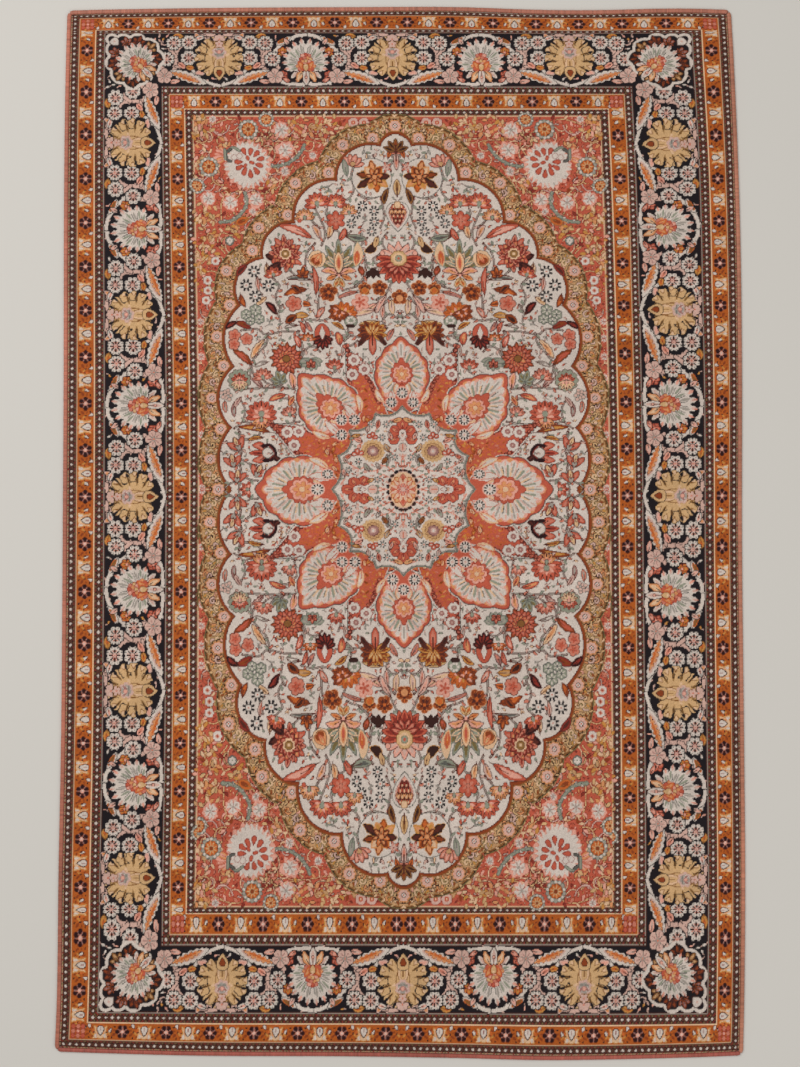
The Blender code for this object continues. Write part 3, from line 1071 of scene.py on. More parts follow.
    # the red lotus
    redLotus(spot(168, 365))
    frond(spot(180, 352, -70), 18, 12, "maroon", "sable", bend=-2)
    frond(spot(176, 352, -30), 22, 10, "maroon", "sable", bend=-2)
    carnation(spot(186, 332, 75), 14, "coral", "orange", count=5)
    for x, y in ((215, 338), (194, 317), (227, 318), (214, 301)):
        navyRosette(spot(x, y), 9.2)
    # orange, green and rust
    rimmedPetals(spot(157, 290), 5, 14, "ivory", "ivory", None, breadth=13)
    rimmedPetals(spot(157, 290), 5, 12, "rose", "sable", "coral", 2.6, breadth=10, tint="coral")
    carnation(spot(84, 272, 110), 21, "orange", "honey", "rust", "rust", 9, 260)
    carnation(spot(90, 278, 300), 16, "rust", "orange", "sable", "rust", 7, 220)
    rimmedPetals(spot(58, 292), 5, 13, "pink", "rose", "coral", 2.4, breadth=9, tint="coral")
    disc(spot(73, 262), 9.0, "sage", "slate", 0.9)
    beads(spot(73, 264), 7, 5.2, 2.0, "ivory")
    shape(spot(74, 255), oval(14, 7), "umber")
    for k, angle in enumerate((90, 60, 120, 35, 145, 15, 165, -10, 190, -35, 215)):
        dye, tint = ("rust", "sable") if k % 2 else ("honey", "rust")
        frond(spot(42, 244, angle), 22 if k else 18, 8, dye, tint)
    for angle in (80, 100, 55, 125):
        frond(spot(42, 240, angle), 18, 4.6, "honey", "gold", "rust")
    for way in (-1, 1):
        frond(spot(42 + way * 9, 240, 270 + way * 38), 20, 6, "sable", "umber")
    frond(spot(42, 240, 270), 29, 11, "coral", "rose")
    shape(spot(116, 241), oval(23, 34), "coral", "sable", 1.0)
    for k in range(7):
        frond(spot(116, 238, 196 + 24.6 * k), 19 - abs(k - 3), 7, "maroon", "madder")
    shape(spot(116, 244), points((0, -10), (4.4, 0), (0, 11), (-4.4, 0)), "ivory", "madder", 0.8)
    carnation(spot(137, 234, 90), 11, "orange", "cream", count=5, calyx="sage")
    # the starburst
    for ring, far, dye, tint in (
        (0, 25, "rust", "coral"), (15, 20, "coral", "rose"), (0, 13, "coral", "apricot"),
    ):
        for k in range(12):
            frond(spot(170, 205, 30 * k + ring + 4), far, 8.0 - ring * 0.1, dye, tint)
    disc(spot(170, 205), 5.0, "bronze", "umber", 0.8)
    for x, y, reach in ((228, 235, 9), (246, 241, 9), (247, 227, 8.5)):
        breadth = reach * 0.85
        rimmedPetals(spot(x, y), 5, reach, "rose", "sable", "coral", 1.8, breadth, x, "coral")
    for x, y, reach in ((214, 280, 8.6), (228, 273, 7.8), (209, 266, 7.6), (222, 263, 6.4)):
        bloom(spot(x, y), 6, reach, 6.0, "sage", "slate", edge=1.2)
        rays(spot(x, y), 6, reach * 0.35, reach * 0.8, 1.0, "ivory")
        disc(spot(x, y), 1.6, "slate", "ivory", 0.8)
    # under the starburst
    maple(spot(180, 170, 75), 17, "sage", "moss", "slate")
    carnation(spot(205, 176, 80), 15, "rose", "coral")
    for k in range(7):
        frond(spot(134, 204, 190 + 26 * k), 17, 8, "sage", "grey", "slate")
    maple(spot(134, 194, 90), 10, "coral", "rose")
    carnation(spot(99, 190, 90), 15, "coral", "rose", count=5, spread=150)
    rimmedPetals(spot(240, 172), 11, 17, "sage", "sable", None, breadth=8.4, tint="blush")
    carnation(spot(240, 170, 90), 13, "coral", "pink", count=5, spread=170)
    carnation(spot(240, 170, 270), 13, "cream", "gold", "sable", "pink", 5, 170)
    for k in range(9):
        bead = 7.0 * np.exp(2.4j * k) * np.sqrt((k + 0.5) / 6)
        disc(spot(259, 150), 2.5, "blush", "slate", 0.9, x=bead.real, y=bead.imag)
    carnation(spot(208, 118, 90), 23, "coral", "rose", count=9, spread=230)
    carnation(spot(208, 112, 270), 15, "apricot", "rose", count=5, spread=150)
    carnation(spot(166, 118, 75), 14, "rose", "mauve", count=5, spread=140)
    redTulip(spot(204, 60))
    for x, y, turn in ((243, 71, 66), (250, 44, 80), (214, 27, 112), (244, 18, 96)):
        lotusBud(spot(x, y, turn), 14.5, "coral", "rose", count=3, spread=112, calyx="grey")
        frond(spot(x, y, turn), 14, 5.0, "cream", "gold", "sable")
    carnation(spot(228, 0, 0), 13, "coral", "rose", count=5, spread=240)
    # and sprigs over what is still bare
    chance = np.random.default_rng(5)
    kinds = (
        ("rose", "sable"), ("blush", "sable"), ("sage", "slate"), ("coral", "sable"), ("cream", "sable"),
        ("grey", "slate"),
    )
    sprigs("ivory", 100, 540, 0, 272, 7.0, 3.0, kinds, chance)
    sprigs("ivory", 0, 540, 0, 272, 5.0, 2.5, kinds, chance)
    sprigs("ivory", 0, 540, 0, 272, 4.0, 2.0, kinds, chance)


# the star


def onion(reach, tip, breadth=1.0, count=11, cut=0.07, grow=0.0):
    # a round scalloped outline drawn out to a point along +x
    t = np.linspace(-np.pi, np.pi, 200, endpoint=False)
    scallop = np.abs(np.sin(count * t / 2 + np.pi / 2))
    radius = reach + (tip - reach) * np.exp(-np.abs(t / 0.42) ** 1.4) + grow
    return radius * (1 - cut * (1 - scallop)) * (np.cos(t) + 1j * breadth * np.sin(t))


def starPetal(place, reach, tip, breadth=1.0, back=1.0, share=0.9):
    # a petal rimmed in coral: in it a jagged white ring, grey-green shadows and a coral heart; +x is outwards
    def squeezed(p):
        return place(np.where(p.real < 0, p.real * back, p.real) + 1j * p.imag)

    for grow, dye in ((3.4, "ivory"), (2.0, "slate"), (0.8, "madder"), (0.0, "coral")):
        fill(squeezed(onion(reach, tip, breadth, grow=grow)), dye)
    inner = reach + (tip - reach) * share
    for grow, dye, count in ((-3.0, "apricot", 17), (-4.4, "pink", 19), (-6.2, "ivory", 23)):
        fill(squeezed(onion(reach, inner, breadth, count=count, cut=0.12, grow=grow)), dye)
    for k in range(23):
        angle = np.radians(-146 + 292 * (k + 0.5) / 23)
        far = reach * 0.86 + (inner - reach) * 0.8 * np.exp(-abs(angle / 0.4) ** 1.4)
        ray = complex(np.cos(angle), np.sin(angle) * breadth) * far
        shadows = ((0.48, 0.82, 0, 3.4, "sage"), (0.56, 0.80, 0, 1.3, "slate"), (0.62, 0.94, 0, 2.6, "grey"))
        for start, stop, lean, width, dye in (
            (0.42, 0.74, 0.06j, 2.8, "cream" if k % 2 else "blush"),
            shadows[k % 3],
            (0.84, 0.98, 0.09j, 1.8, "blush" if k % 2 else "pink"),
        ):
            line(squeezed(np.array([start * ray * np.exp(lean), stop * ray * np.exp(lean)])), width, dye)
    # the open foot of the petal, and long white leaves at either side of it
    rear, front, wide, narrow = -reach * back * 1.02, -reach * 0.1, reach * 0.30, reach * 0.2
    shape(place, points((rear, -wide), (front, -narrow), (front, narrow), (rear, wide)), "coral")
    for way in (-1, 1):
        for x, y, lean, length, dye in (
            (-0.96, 0.34, 6, 0.72, "ivory"), (-0.78, 0.66, 30, 0.62, "cream"),
            (-0.60, 0.14, 4, 0.50, "cream"),
        ):
            root = within(place, reach * back * x, way * reach * y, way * lean)
            frond(root, reach * length, reach * 0.2, dye, "ivory", "coral", bend=way * 2.0)
    heart = within(place, -reach * 0.06, 0)
    shape(heart, onion(reach * 0.42, tip * 0.46, 1.0, count=11, cut=0.2), "coral", "madder", 0.9)
    bloom(heart, 7, reach * 0.34, reach * 0.22, "pink", "madder", edge=0.6)
    bloom(heart, 7, reach * 0.25, reach * 0.12, "apricot", "coral", edge=0.6)
    disc(heart, reach * 0.08, "cream", "coral", 0.8)


def pointedLobe(base, tip, breadth, rings):
    length = abs(tip - base)
    place = spot(base.real, base.imag, np.degrees(np.angle(tip - base)))
    foot, waist = breadth / 2, breadth * 0.40
    outline = points((0, -foot), (length * 0.6, -waist), (length, 0), (length * 0.6, waist), (0, foot))
    shape(place, outline * 1.03 - length * 0.01, "ivory", "slate", 1.0)
    shape(place, outline * 0.985, "coral", "ivory", 1.0)
    for way in (-1, 1):
        for k in range(15):
            share = 0.40 + 0.042 * k
            half = np.interp(share, (0, 0.6, 1), (0.5, 0.40, 0.0)) * breadth
            edge = within(place, length * share, way * half * 0.86, -way * 50)
            frond(edge, 6.5, 4.6, "madder" if k % 2 else "coral", "rose")
    for x, y in rings:
        shape(spot(x, y), lobed(9.2, 7, 0.2), "ivory", "madder", 0.9)
        disc(spot(x, y), 3.6, "mauve", "madder", 0.7)
        disc(spot(x, y), 1.2, "blush")


def star():
    # the coral and orange ground that joins its petals
    reach = np.array([118, 146, 132, 146, 120, 140, 118])
    angle = np.radians([-8, 18, 45, 68, 90, 100, 110])
    ground = reach * np.exp(1j * angle)
    fill(np.append(ground, 0), "sable")
    fill(np.append(ground * 0.985, 0), "coral")
    pointedLobe(complex(74, 38), complex(197, 105), 62, ((153, 93), (170, 92), (160, 72)))
    pointedLobe(complex(31, 68), complex(81, 224), 54, ((70, 203), (55, 189), (73, 181)))
    fill(np.append(ground * 0.95, 0), "coral")
    chance = np.random.default_rng(23)
    kinds = (
        ("orange", "coral"), ("apricot", "orange"), ("coral", "orange"), ("honey", "orange"),
        ("orange", None), ("rose", "coral"), ("rust", "orange"),
    )
    for size, pitch in ((7.0, 3.0), (4.2, 2.0), (2.6, 1.6)):
        sprigs("coral", 0, 200, 0, 190, size, pitch, kinds, chance, "orange")
    mixes = (("apricot", "cream"), ("coral", "rose"), ("cream", "apricot"), ("orange", "honey"))
    for k in range(46):
        turn = chance.uniform(4, 90)
        at = chance.uniform(100, 124) * np.exp(1j * np.radians(turn))
        place = spot(at.real, at.imag, turn + chance.uniform(-75, 75))
        frond(place, 10, 4.6, *mixes[k % 4], ("madder", "rust")[k % 2])
    starPetal(spot(152, 0), 53, 65, 1.04, 1.02, 0.5)
    starPetal(spot(0, 184, 90), 40, 54, 1.0, 1.5)
    starPetal(spot(108, 131, 49), 45, 66, 1.0, 1.04)
    for x, y, reach in (
        (126, 0, 9.5), (111, 25, 8.4), (0, 153, 8.5), (16, 138, 8.2), (71, 111, 8.2), (90, 111, 8.0),
        (90, 88, 8.2),
    ):
        disc(spot(x, y), reach + 1.4, "pink")
        starRosette(spot(x, y), reach)


def petalArch(place, reach, size):
    # five coral lobes about a white drop, open at the near side
    for far, angle in ((0.92, -118), (0.92, 118), (0.80, -58), (0.80, 58), (1.0, 0)):
        at = reach * far * np.exp(1j * np.radians(angle))
        shape(within(place, at.real, at.imag, angle), lobed(size, 6, 0.10), "coral", "sable", 0.8)
        inner = within(place, at.real * 0.6, at.imag * 0.6, angle)
        frond(inner, size * 1.3, size * 0.5, "rose", "apricot", "madder")
    shape(within(place, -reach * 0.6, 0), drop(reach * 1.1, reach * 0.66), "ivory", "madder", 0.8)
    shape(within(place, -reach * 1.2, 0), oval(reach * 0.8, reach * 0.7), "blush", "slate", 0.8)
    stroke(place, 1.2, "rose", (-reach * 1.4, 0), (-reach * 0.9, 0))


def innerRing():
    cusps = points((96, -55), (103, 0), (94, 55), (77, 94), (39, 119), (0, 130), (-39, 119))
    path = lobes(cusps, (8, 9, 10, 10, 8, 8))[:-1]
    for width, dye in ((5.6, "sage"), (4.0, "slate")):
        line(path, width, dye)
    fill(np.concatenate([path, [complex(-40, 0), complex(0, -40)]]), "ivory")
    for width, dye in ((2.2, "slate"), (1.2, "grey")):
        line(path, width, dye)
    kinds = (("rose", "sable"), ("sage", "slate"), ("blush", "rose"))
    for pairs in (
        ((24, 0), (36, 2), (46, 0)), ((20, 20), (30, 24), (36, 18)), ((0, 34), (2, 44), (0, 58)),
        ((14, 30), (24, 38), (36, 40)), ((34, 34), (44, 30), (54, 32)), ((12, 48), (10, 38), (16, 34)),
        ((52, 40), (64, 34), (76, 40), (84, 46)), ((26, 70), (18, 62), (14, 58)),
        ((44, 82), (40, 94), (34, 104)), ((60, 76), (66, 70), (66, 56)), ((24, 98), (20, 108), (12, 112)),
        ((84, 30), (86, 18), (92, 8)), ((62, 84), (70, 86), (74, 80)),
    ):
        vine(*pairs, dye="pink", rim="rose", width=0.4, step=8, breadth=6.0, kinds=kinds)
    for count, far, breadth, dye, rim in (
        (18, 17.5, 5.6, "gold", "tan"), (14, 12.5, 4.6, "tan", "bronze"), (10, 8.5, 4.0, "mauve", "sable"),
        (8, 4.6, 2.8, "blush", "mauve"),
    ):
        bloom(spot(44, 63), count, far, breadth, dye, rim, turn=far, edge=0.7)
    disc(spot(44, 63), 2.0, "ivory")
    petalArch(spot(65, 0), 17, 8.4)
    petalArch(spot(0, 88, 90), 16, 8.0)
    for x, y in ((30, 84), (12, 53), (38, 16), (65, 46), (24, 104), (80, 32), (46, 104)):
        navyRosette(spot(x, y), 5.6, 7, "slate")
        beads(spot(x, y), 7, 4.4, 0.8, "navy")
    fronds(
        spot(0, 0),
        (21, 44, 82, 14, 6, "grey", "slate"), (30, 42, 120, 12, 6, "bronze", "rust"),
        (50, 30, 62, 14, 6, "grey", "sage"), (34, 34, 60, 10, 5, "grey", "ivory"),
        (76, 58, -40, 12, 6, "rose", "coral"), (35, 110, 280, 12, 6, "rose", "madder"),
        (60, 78, 20, 12, 6, "pink", "rose"), (62, 88, 350, 13, 5, "honey", "tan"),
        (20, 62, 60, 14, 6, "tan", "grey"), (86, 22, 80, 12, 5, "blush", "rose"),
        (52, 12, 150, 10, 5, "honey", "cream"), (14, 108, 160, 14, 6, "apricot", "tan"),
        (52, 92, 100, 10, 5, "blush", "grey"), (82, 44, 60, 10, 5, "blush", "slate"),
        (20, 92, 250, 12, 5, "blush", "rose"),
    )
    trefoil(spot(66, 58, 80), 9)
    trefoil(spot(45, 84, 100), 8)
    kinds = (("rose", "sable"), ("blush", "rose"), ("sage", "slate"), ("cream", "mauve"))
    sprigs("ivory", 0, 116, 0, 94, 3.4, 2.0, kinds, np.random.default_rng(9))
    # the roundel at the middle
    ring = 1j * 33 * np.sin(turns(60)) + 23 * np.cos(turns(60))
    fill(ring, "blush")
    for k in range(20):
        at = complex(22 * np.cos(np.pi / 10 * k + 0.16), 31.5 * np.sin(np.pi / 10 * k + 0.16))
        shape(spot(at.real, at.imag, 18 * k + 99), oval(7.5, 5.0), "umber" if k % 3 else "navy")
    fill(ring * 0.86, "cream")
    for angle in (35, 62, 90, 0):
        far = 26 - abs(90 - angle) * 0.08
        dye, tint = ("rose", "coral") if angle in (90, 0) else ("apricot", "gold")
        frond(within(spot(0, 0, angle), far * 0.34, 0), far * 0.62, 9, dye, tint, "rust")
    for angle in (18, 48, 76):
        frond(spot(0, 0, angle), 20, 5, "cream", "blush", "coral")
    for angle in (0, 45, 90):
        frond(spot(0, 0, angle), 9, 4.4, "pink", "mauve", "coral")
    disc(spot(0, 0), 3.0, "blush", "mauve", 0.8)


# corners of the field


def jagged(reach, count, depth, chance):
    # an uneven outline, as if torn
    near = 1 - depth * (np.arange(count * 2) % 2) + chance.uniform(-0.5, 0.5, count * 2) * depth
    return reach * near * np.exp(1j * turns(count * 2))


def whiteFlower(place, reach, heart="grey"):
    chance = np.random.default_rng(int(reach * 7))
    shape(place, jagged(reach * 1.34, 8, 0.24, chance), "pink")
    shape(place, jagged(reach * 1.04, 9, 0.24, chance), "ivory", "rose", 0.6)
    for k in range(6):
        petal = turned(place, 60 * k + 20)
        shape(within(petal, reach * 0.6, 0), oval(reach * 0.5, reach * 0.3), "blush" if k % 2 else "pink")
        stroke(petal, 1.2, heart if k % 2 else "mauve", (reach * 0.2, 0), (reach * 0.66, 0))
    if reach > 8:
        disc(place, reach * 0.16, heart)


def orangeRosette(place, reach):
    shape(place, lobed(reach * 1.28, 14, 0.16), "sage", "slate", 0.8)
    for k in range(14):
        petal = turned(place, 360 / 14 * (k + 0.5))
        shape(petal, reach * 1.06 + oval(reach * 0.34, reach * 0.34), "ivory" if k % 3 else "grey")
    shape(place, lobed(reach * 0.84, 14, 0.12), "bronze", "umber", 0.8)
    bloom(place, 9, reach * 0.86, reach * 0.42, "orange", "rust", edge=0.6)
    rays(place, 9, reach * 0.35, reach * 0.7, 1.2, "gold")
    disc(place, reach * 0.26, "rust", "gold", 0.9)


def greatFlower(place):
    # a broad white flower with a torn edge, pointed red drops about its heart and a grey curl at one side
    chance = np.random.default_rng(3)
    shape(place, jagged(38, 15, 0.16, chance), "pink")
    shape(place, jagged(35, 27, 0.16, chance) + 0.5 - 1j, "ivory", "rose", 0.8)
    for k in range(27):
        way = np.exp(1j * np.radians(k * 360 / 27 + 5))
        line(place(way * np.array([29.0, 33.0])), 1.2, "pink" if k % 3 else "grey")
    shape(place, jagged(29, 13, 0.1, chance), "ivory")
    for k in (0, *range(2, 11)):
        shape(within(within(place, -3, 3, 33 * k), 10 + k % 3, 0), drop(11, 5.8), "coral", "madder", 1.0)
    for x, y, angle in ((-1, 9, 80), (-7, 2, 20), (3, -3, 120)):
        shape(within(place, x, y, angle), oval(7, 4), "coral", "madder", 0.8)
    for dye, rim, *pairs in (
        ("sage", "slate", (11, 20), (20, 25), (29, 20)),
        ("slate", "umber", (24, 22), (31, 16), (29, 6), (24, 4)),
        ("sage", "slate", (33, 22), (32, 8)),
    ):
        line(place(curve(*pairs)), 4.8, rim)
        line(place(curve(*pairs)), 2.8, dye)
    for x, y in ((11, 12), (19, 10)):
        disc(place, 3.6, "ivory", "mauve", 1.0, x=x, y=y)


coralLeaves = (
    ("rose", "sable"), ("madder", "sable"), ("rose", "rust"), ("cream", "madder"), ("pink", "madder"),
    ("coral", "sable"), ("apricot", "rust"), ("rust", "madder"),
)


def spandrels():
    # fine cream vines over all the coral
    for pairs in (
        ((20, 566), (60, 548), (100, 560), (140, 540), (176, 540), (200, 545), (240, 566), (280, 556)),
        (
            (78, 552), (104, 532), (130, 534), (158, 536), (176, 530), (190, 512), (186, 496), (172, 486),
            (176, 466), (186, 458),
        ),
        ((184, 458), (204, 455), (224, 462), (250, 456), (264, 470), (280, 482)),
        ((182, 520), (186, 545), (206, 540)), ((256, 548), (266, 536), (262, 520), (266, 506)),
        ((262, 410), (262, 438), (258, 452), (268, 462)), ((196, 440), (198, 424), (214, 420)),
        ((276, 470), (262, 480), (268, 494)), ((285, 566), (290, 540), (286, 520), (292, 505)),
        ((236, 404), (246, 392), (262, 396), (268, 380), (258, 366)),
        ((292, 440), (284, 428), (292, 412), (282, 396), (290, 380), (284, 362), (292, 350)),
        ((296, 280), (290, 262), (296, 244)), ((150, 500), (160, 486), (170, 470), (176, 456)),
        ((138, 520), (150, 512), (154, 524), (146, 532)),
    ):
        vine(*pairs, dye="gold", rim="madder", width=1.6, step=9, breadth=8.5, kinds=coralLeaves)
    # tendrils that coil over the ground between them
    chance = np.random.default_rng(41)
    for k in range(150):
        at = complex(chance.uniform(62, 296), chance.uniform(250, 562))
        reach, sweep = chance.uniform(8, 18), chance.uniform(2.2, 4.0)
        coil = reach * np.linspace(1.1, 0.45, 20) * np.exp(1j * np.linspace(0, sweep, 20))
        path = spot(at.real, at.imag, chance.uniform(0, 360), flip=k % 2)(coil)
        line(path, 3.4, ("madder", "sable")[k % 2])
        line(path, 1.5, ("gold", "cream", "blush")[k % 3])
        if k % 2:
            scrolls(path, 8, 8.5, coralLeaves[k % 3 :])
    # masses of gold, cream and apricot leaves
    chance = np.random.default_rng(31)
    for x, y, wide, tall, count in (
        (124, 553, 70, 30, 44), (288, 552, 26, 36, 30), (285, 400, 30, 90, 56), (288, 336, 22, 60, 20),
        (254, 531, 16, 14, 8), (192, 470, 18, 16, 9), (62, 550, 60, 16, 16), (240, 402, 26, 22, 12),
        (292, 500, 12, 60, 12), (206, 535, 12, 10, 4),
    ):
        for k in range(count):
            at = complex(x + wide * chance.uniform(-0.5, 0.5), y + tall * chance.uniform(-0.5, 0.5))
            dye = ("gold", "cream", "apricot", "tan", "cream", "honey", "gold", "pink")[chance.integers(8)]
            rim = ("madder", "rust", "olive", "umber")[chance.integers(4)]
            leaf(spot(at.real, at.imag, chance.uniform(0, 360)), 8.6, 4.4, dye, rim, edge=0.7)
    # two curling grey-green stems
    for pairs in (
        ((136, 528), (141, 518), (152, 506), (170, 497), (190, 495)),
        ((226, 456), (224, 440), (232, 426), (246, 415), (264, 412)),
    ):
        line(curve(*pairs), 5.6, "slate")
        line(curve(*pairs), 3.4, "sage")
        scrolls(curve(*pairs), 8, 4.5, (("grey", "slate"), ("ivory", "slate")))
    for angle, dye in ((66, "apricot"), (44, "pink"), (22, "rose"), (0, "pink"), (-24, "apricot")):
        frond(spot(254, 508, angle), 19, 8, dye, "pink", "coral")
    frond(spot(222, 418, -24), 20, 11, "orange", "rust", "olive")
    for x, y, reach in ((219, 551, 11.5), (279, 495, 11.5), (192, 566, 9), (297, 466, 9)):
        orangeRosette(spot(x, y), reach)
    for x, y, reach in (
        (170, 550, 10.5), (165, 520, 11), (281, 447, 9.5), (248, 441, 9.5), (210, 445, 10), (272, 566, 5.5),
        (215, 428, 5), (124, 512, 5.5), (166, 488, 6),
    ):
        whiteFlower(spot(x, y, x), reach)
    for x, y in ((46, 561), (62, 561)):
        ringFlower(spot(x, y), 7.6, "blush", "coral", "cream")
    for x, y in ((284, 325), (284, 310), (287, 295), (272, 354)):
        ringFlower(spot(x, y), 6.6, "ivory", "rose", "madder")
    disc(spot(250, 384), 6.0, "sage", "slate", 0.9)
    bloom(spot(250, 384), 6, 5.0, 3.4, "ivory", "slate", "sage", 1.4)
    for y in (262, 236, 208, 176, 148, 120, 88, 60, 30, 2):
        whiteFlower(spot(296, y), 5.2, "coral")
    chance = np.random.default_rng(17)
    sprigs("coral", 100, 566, 60, 298, 6.0, 3.0, coralLeaves, chance, "tan")
    sprigs("coral", 0, 568, 60, 299, 3.4, 2.0, coralLeaves, chance, "madder")
    sprigs("coral", 0, 568, 60, 299, 2.2, 1.8, coralLeaves, chance, "madder")


def layField():
    spandrels()
    medallionBand()
    medallionEdge()
    ivoryGround()
    greatFlower(spot(222, 499))
    star()
    innerRing()


layBorders()
layField()
print(f"cartoon drawn: {quarterRows} by {quarterColumns} knots in each quarter")

# the rug as it lies: woven millimetres to metres on the floor

rug = {
    "bindingWidth": 0.0066,
    "gap": 0.0003,  # between the binding and the pile
    "cornerRadius": 0.0105,
    "pileTop": 0.0040,
    "backTop": 0.0014,  # the woven foundation under the pile
    "slackFrom": 0.69,  # beyond this, up and down the rug, its rows are eased to meet the end bindings
    "edgeStations": 61,  # how many times the reach of each binding is measured
}
pileInset = rug["bindingWidth"] + rug["gap"]  # metres from the rug's edge to the pile's

# the weft wasn't beaten down evenly: woven mm up the rug, and where they lie, in mm from its middle
weftStations = (
    (-770, -769), (-749, -747), (-716, -712), (-708, -703), (-620, -606), (-607, -588), (-585, -559),
    (-570, -547), (0, 63), (570, 612), (585, 624), (607, 644), (620, 657), (708, 735), (725, 742),
    (749, 761), (770, 772),
)
# and the side borders and the field were counted apart: their repeats' mm up the rug, and where they lie
rowDrift = {
    "left": (
        (570, 612), (530, 573), (265, 321), (0, 54), (-133, -82), (-265, -231), (-398, -369), (-570, -547),
    ),
    "right": (
        (570, 612), (530, 571), (265, 329), (133, 190), (0, 56), (-133, -91), (-398, -379), (-570, -547),
    ),
    "field": (
        (570, 612), (307, 354), (61, 119), (0, 65), (-220, -147), (-330, -269), (-440, -400), (-570, -547),
    ),
}
# nor are the warps quite straight: how many mm they lie to the right, at these woven mm across and up
warpColumns = (-493, -308, 0, 308, 447, 493)
warpWander = (
    (660, (0, -9, -11, -6, 0, 0)),
    (490, (0, -6, -7, -3, 3, 0)),
    (320, (0, -3, -5, -1, 3, 0)),
    (150, (0, 0, -1, 2, 5, 0)),
    (0, (0, 1, 1, 5, 6, 0)),
    (-320, (0, 1, 3, 6, 6, 0)),
    (-610, (0, 1, 3, 6, 7, 0)),
)


def edgeLines(cadNode):
    # both ends of every edge of a CAD solid's mesh
    mesh = cadNode.data
    places = np.array([v.co for v in mesh.vertices])
    ends = np.array([e.vertices[:] for e in mesh.edges])
    return places[ends[:, 0]], places[ends[:, 1]]


def reachOf(nodeName, axis, side):
    # stations along a binding, clear of its round corners, and its reach outwards at each; side is -1 or 1
    first, second = edgeLines(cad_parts[nodeName])
    along = 1 - axis
    start, stop = (corner[along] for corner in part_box(nodeName))
    stations = np.linspace(start + rug["cornerRadius"], stop - rug["cornerRadius"], rug["edgeStations"])
    reach = []
    for at in stations:
        crosses = (first[:, along] <= at) != (second[:, along] <= at)
        a, b = first[crosses], second[crosses]
        share = (at - a[:, along]) / (b[:, along] - a[:, along])
        reach.append(side * (side * (a[:, axis] + share * (b[:, axis] - a[:, axis]))).max())
    return stations, np.array(reach)


edges = {
    "left": reachOf("side_binding_left", 0, -1),
    "right": reachOf("side_binding_right", 0, 1),
    "near": reachOf("end_binding_near", 1, -1),
    "far": reachOf("end_binding_far", 1, 1),
}


def edgeAt(name, at):
    return np.interp(at, *edges[name])


def cornerOf(sideName, endName):
    # where a side and an end would meet if the corner weren't round, found in a few rounds
    x = clothPlan["halfWidth"] / 1000 * (1 if sideName == "right" else -1)
    y = clothPlan["halfLength"] / 1000 * (1 if endName == "far" else -1)
    for _ in range(4):
        x, y = float(edgeAt(sideName, y)), float(edgeAt(endName, x))
    return complex(x, y)


def lay(u, v):
    # woven mm, as a grid, to places on the floor in metres
    down, laid = np.array(weftStations, float).T
    halfWidth = clothPlan["halfWidth"] / 1000 - pileInset
    halfLength = clothPlan["halfLength"] / 1000 - pileInset
    y = np.interp(v, down, laid) / 1000
    x = u / 1000
    slack = np.clip((np.abs(v) / 1000 - rug["slackFrom"]) / (halfLength - rug["slackFrom"]), 0, 1)
    farMiss = edgeAt("far", x) - pileInset - np.interp(halfLength * 1000, down, laid) / 1000
    nearMiss = edgeAt("near", x) + pileInset - np.interp(-halfLength * 1000, down, laid) / 1000
    y = y + slack * np.where(v > 0, farMiss, nearMiss)
    left, right = edgeAt("left", y) + pileInset, edgeAt("right", y) - pileInset
    # the cloth's corner is round too
    radius = rug["cornerRadius"] - pileInset
    for endName, way in (("far", 1), ("near", -1)):
        depth = radius - np.clip((edgeAt(endName, x) - way * pileInset - y) * way, 0, radius)
        cut = radius - np.sqrt(np.maximum(radius**2 - depth**2, 0))
        left, right = left + cut, right - cut
    share = np.clip((x + halfWidth) / (2 * halfWidth), 0, 1)
    # the warps' wander, between the rows and columns of its table
    rows, moves = zip(*warpWander[::-1])
    columns = np.array([np.interp(u[0], warpColumns, row) for row in moves])
    wander = np.stack([np.interp(v[:, 0], rows, column) for column in columns.T], 1) / 1000
    return left + share * (right - left) + wander, y


# nodes


def node(tree, kind, links=(), **settings):
    # adds a node; a setting named after a socket sets that socket, any other one is the node's own, and a
    # link from a node is from its first output
    made = tree.nodes.new("ShaderNode" + kind)
    for name, value in settings.items():
        if hasattr(made, name):
            setattr(made, name, value)
    for name, value in settings.items():
        if not hasattr(made, name):
            socket = int(name[1:]) if name[1:].isdigit() else name.replace("_", " ")
            made.inputs[socket].default_value = value
    for name, source in dict(links).items():
        tree.links.new(getattr(source, "outputs", [source])[0], made.inputs[name])
    return made


noiseSpan = {"From_Min": 0.3, "From_Max": 0.7}  # where nearly all of a noise texture's values lie


def newMaterial(name):
    material = bpy.data.materials.new(name)
    material.use_nodes = True
    tree = material.node_tree
    tree.nodes.clear()
    return material, tree


def meshPiece(name, vertices, quads, material, smooth=True):
    mesh = bpy.data.meshes.new(name)
    mesh.vertices.add(len(vertices))
    mesh.vertices.foreach_set("co", np.asarray(vertices, np.float32).ravel())
    mesh.loops.add(quads.size)
    mesh.loops.foreach_set("vertex_index", quads.astype(np.int32).ravel())
    mesh.polygons.add(len(quads))
    mesh.polygons.foreach_set("loop_start", np.arange(0, quads.size, 4, dtype=np.int32))
    mesh.update(calc_edges=True)
    mesh.polygons.foreach_set("use_smooth", np.full(len(quads), smooth))
    mesh.materials.append(material)
    piece = bpy.data.objects.new(name, mesh)
    scene.collection.objects.link(piece)
    return piece


def dyeCorners(piece, colours):
    # one linear colour for each face corner
    layer = piece.data.color_attributes.new("dye", "FLOAT_COLOR", "CORNER")
    opaque = np.concatenate([colours, np.ones((len(colours), 1))], 1)
    layer.data.foreach_set("color", opaque.astype(np.float32).ravel())


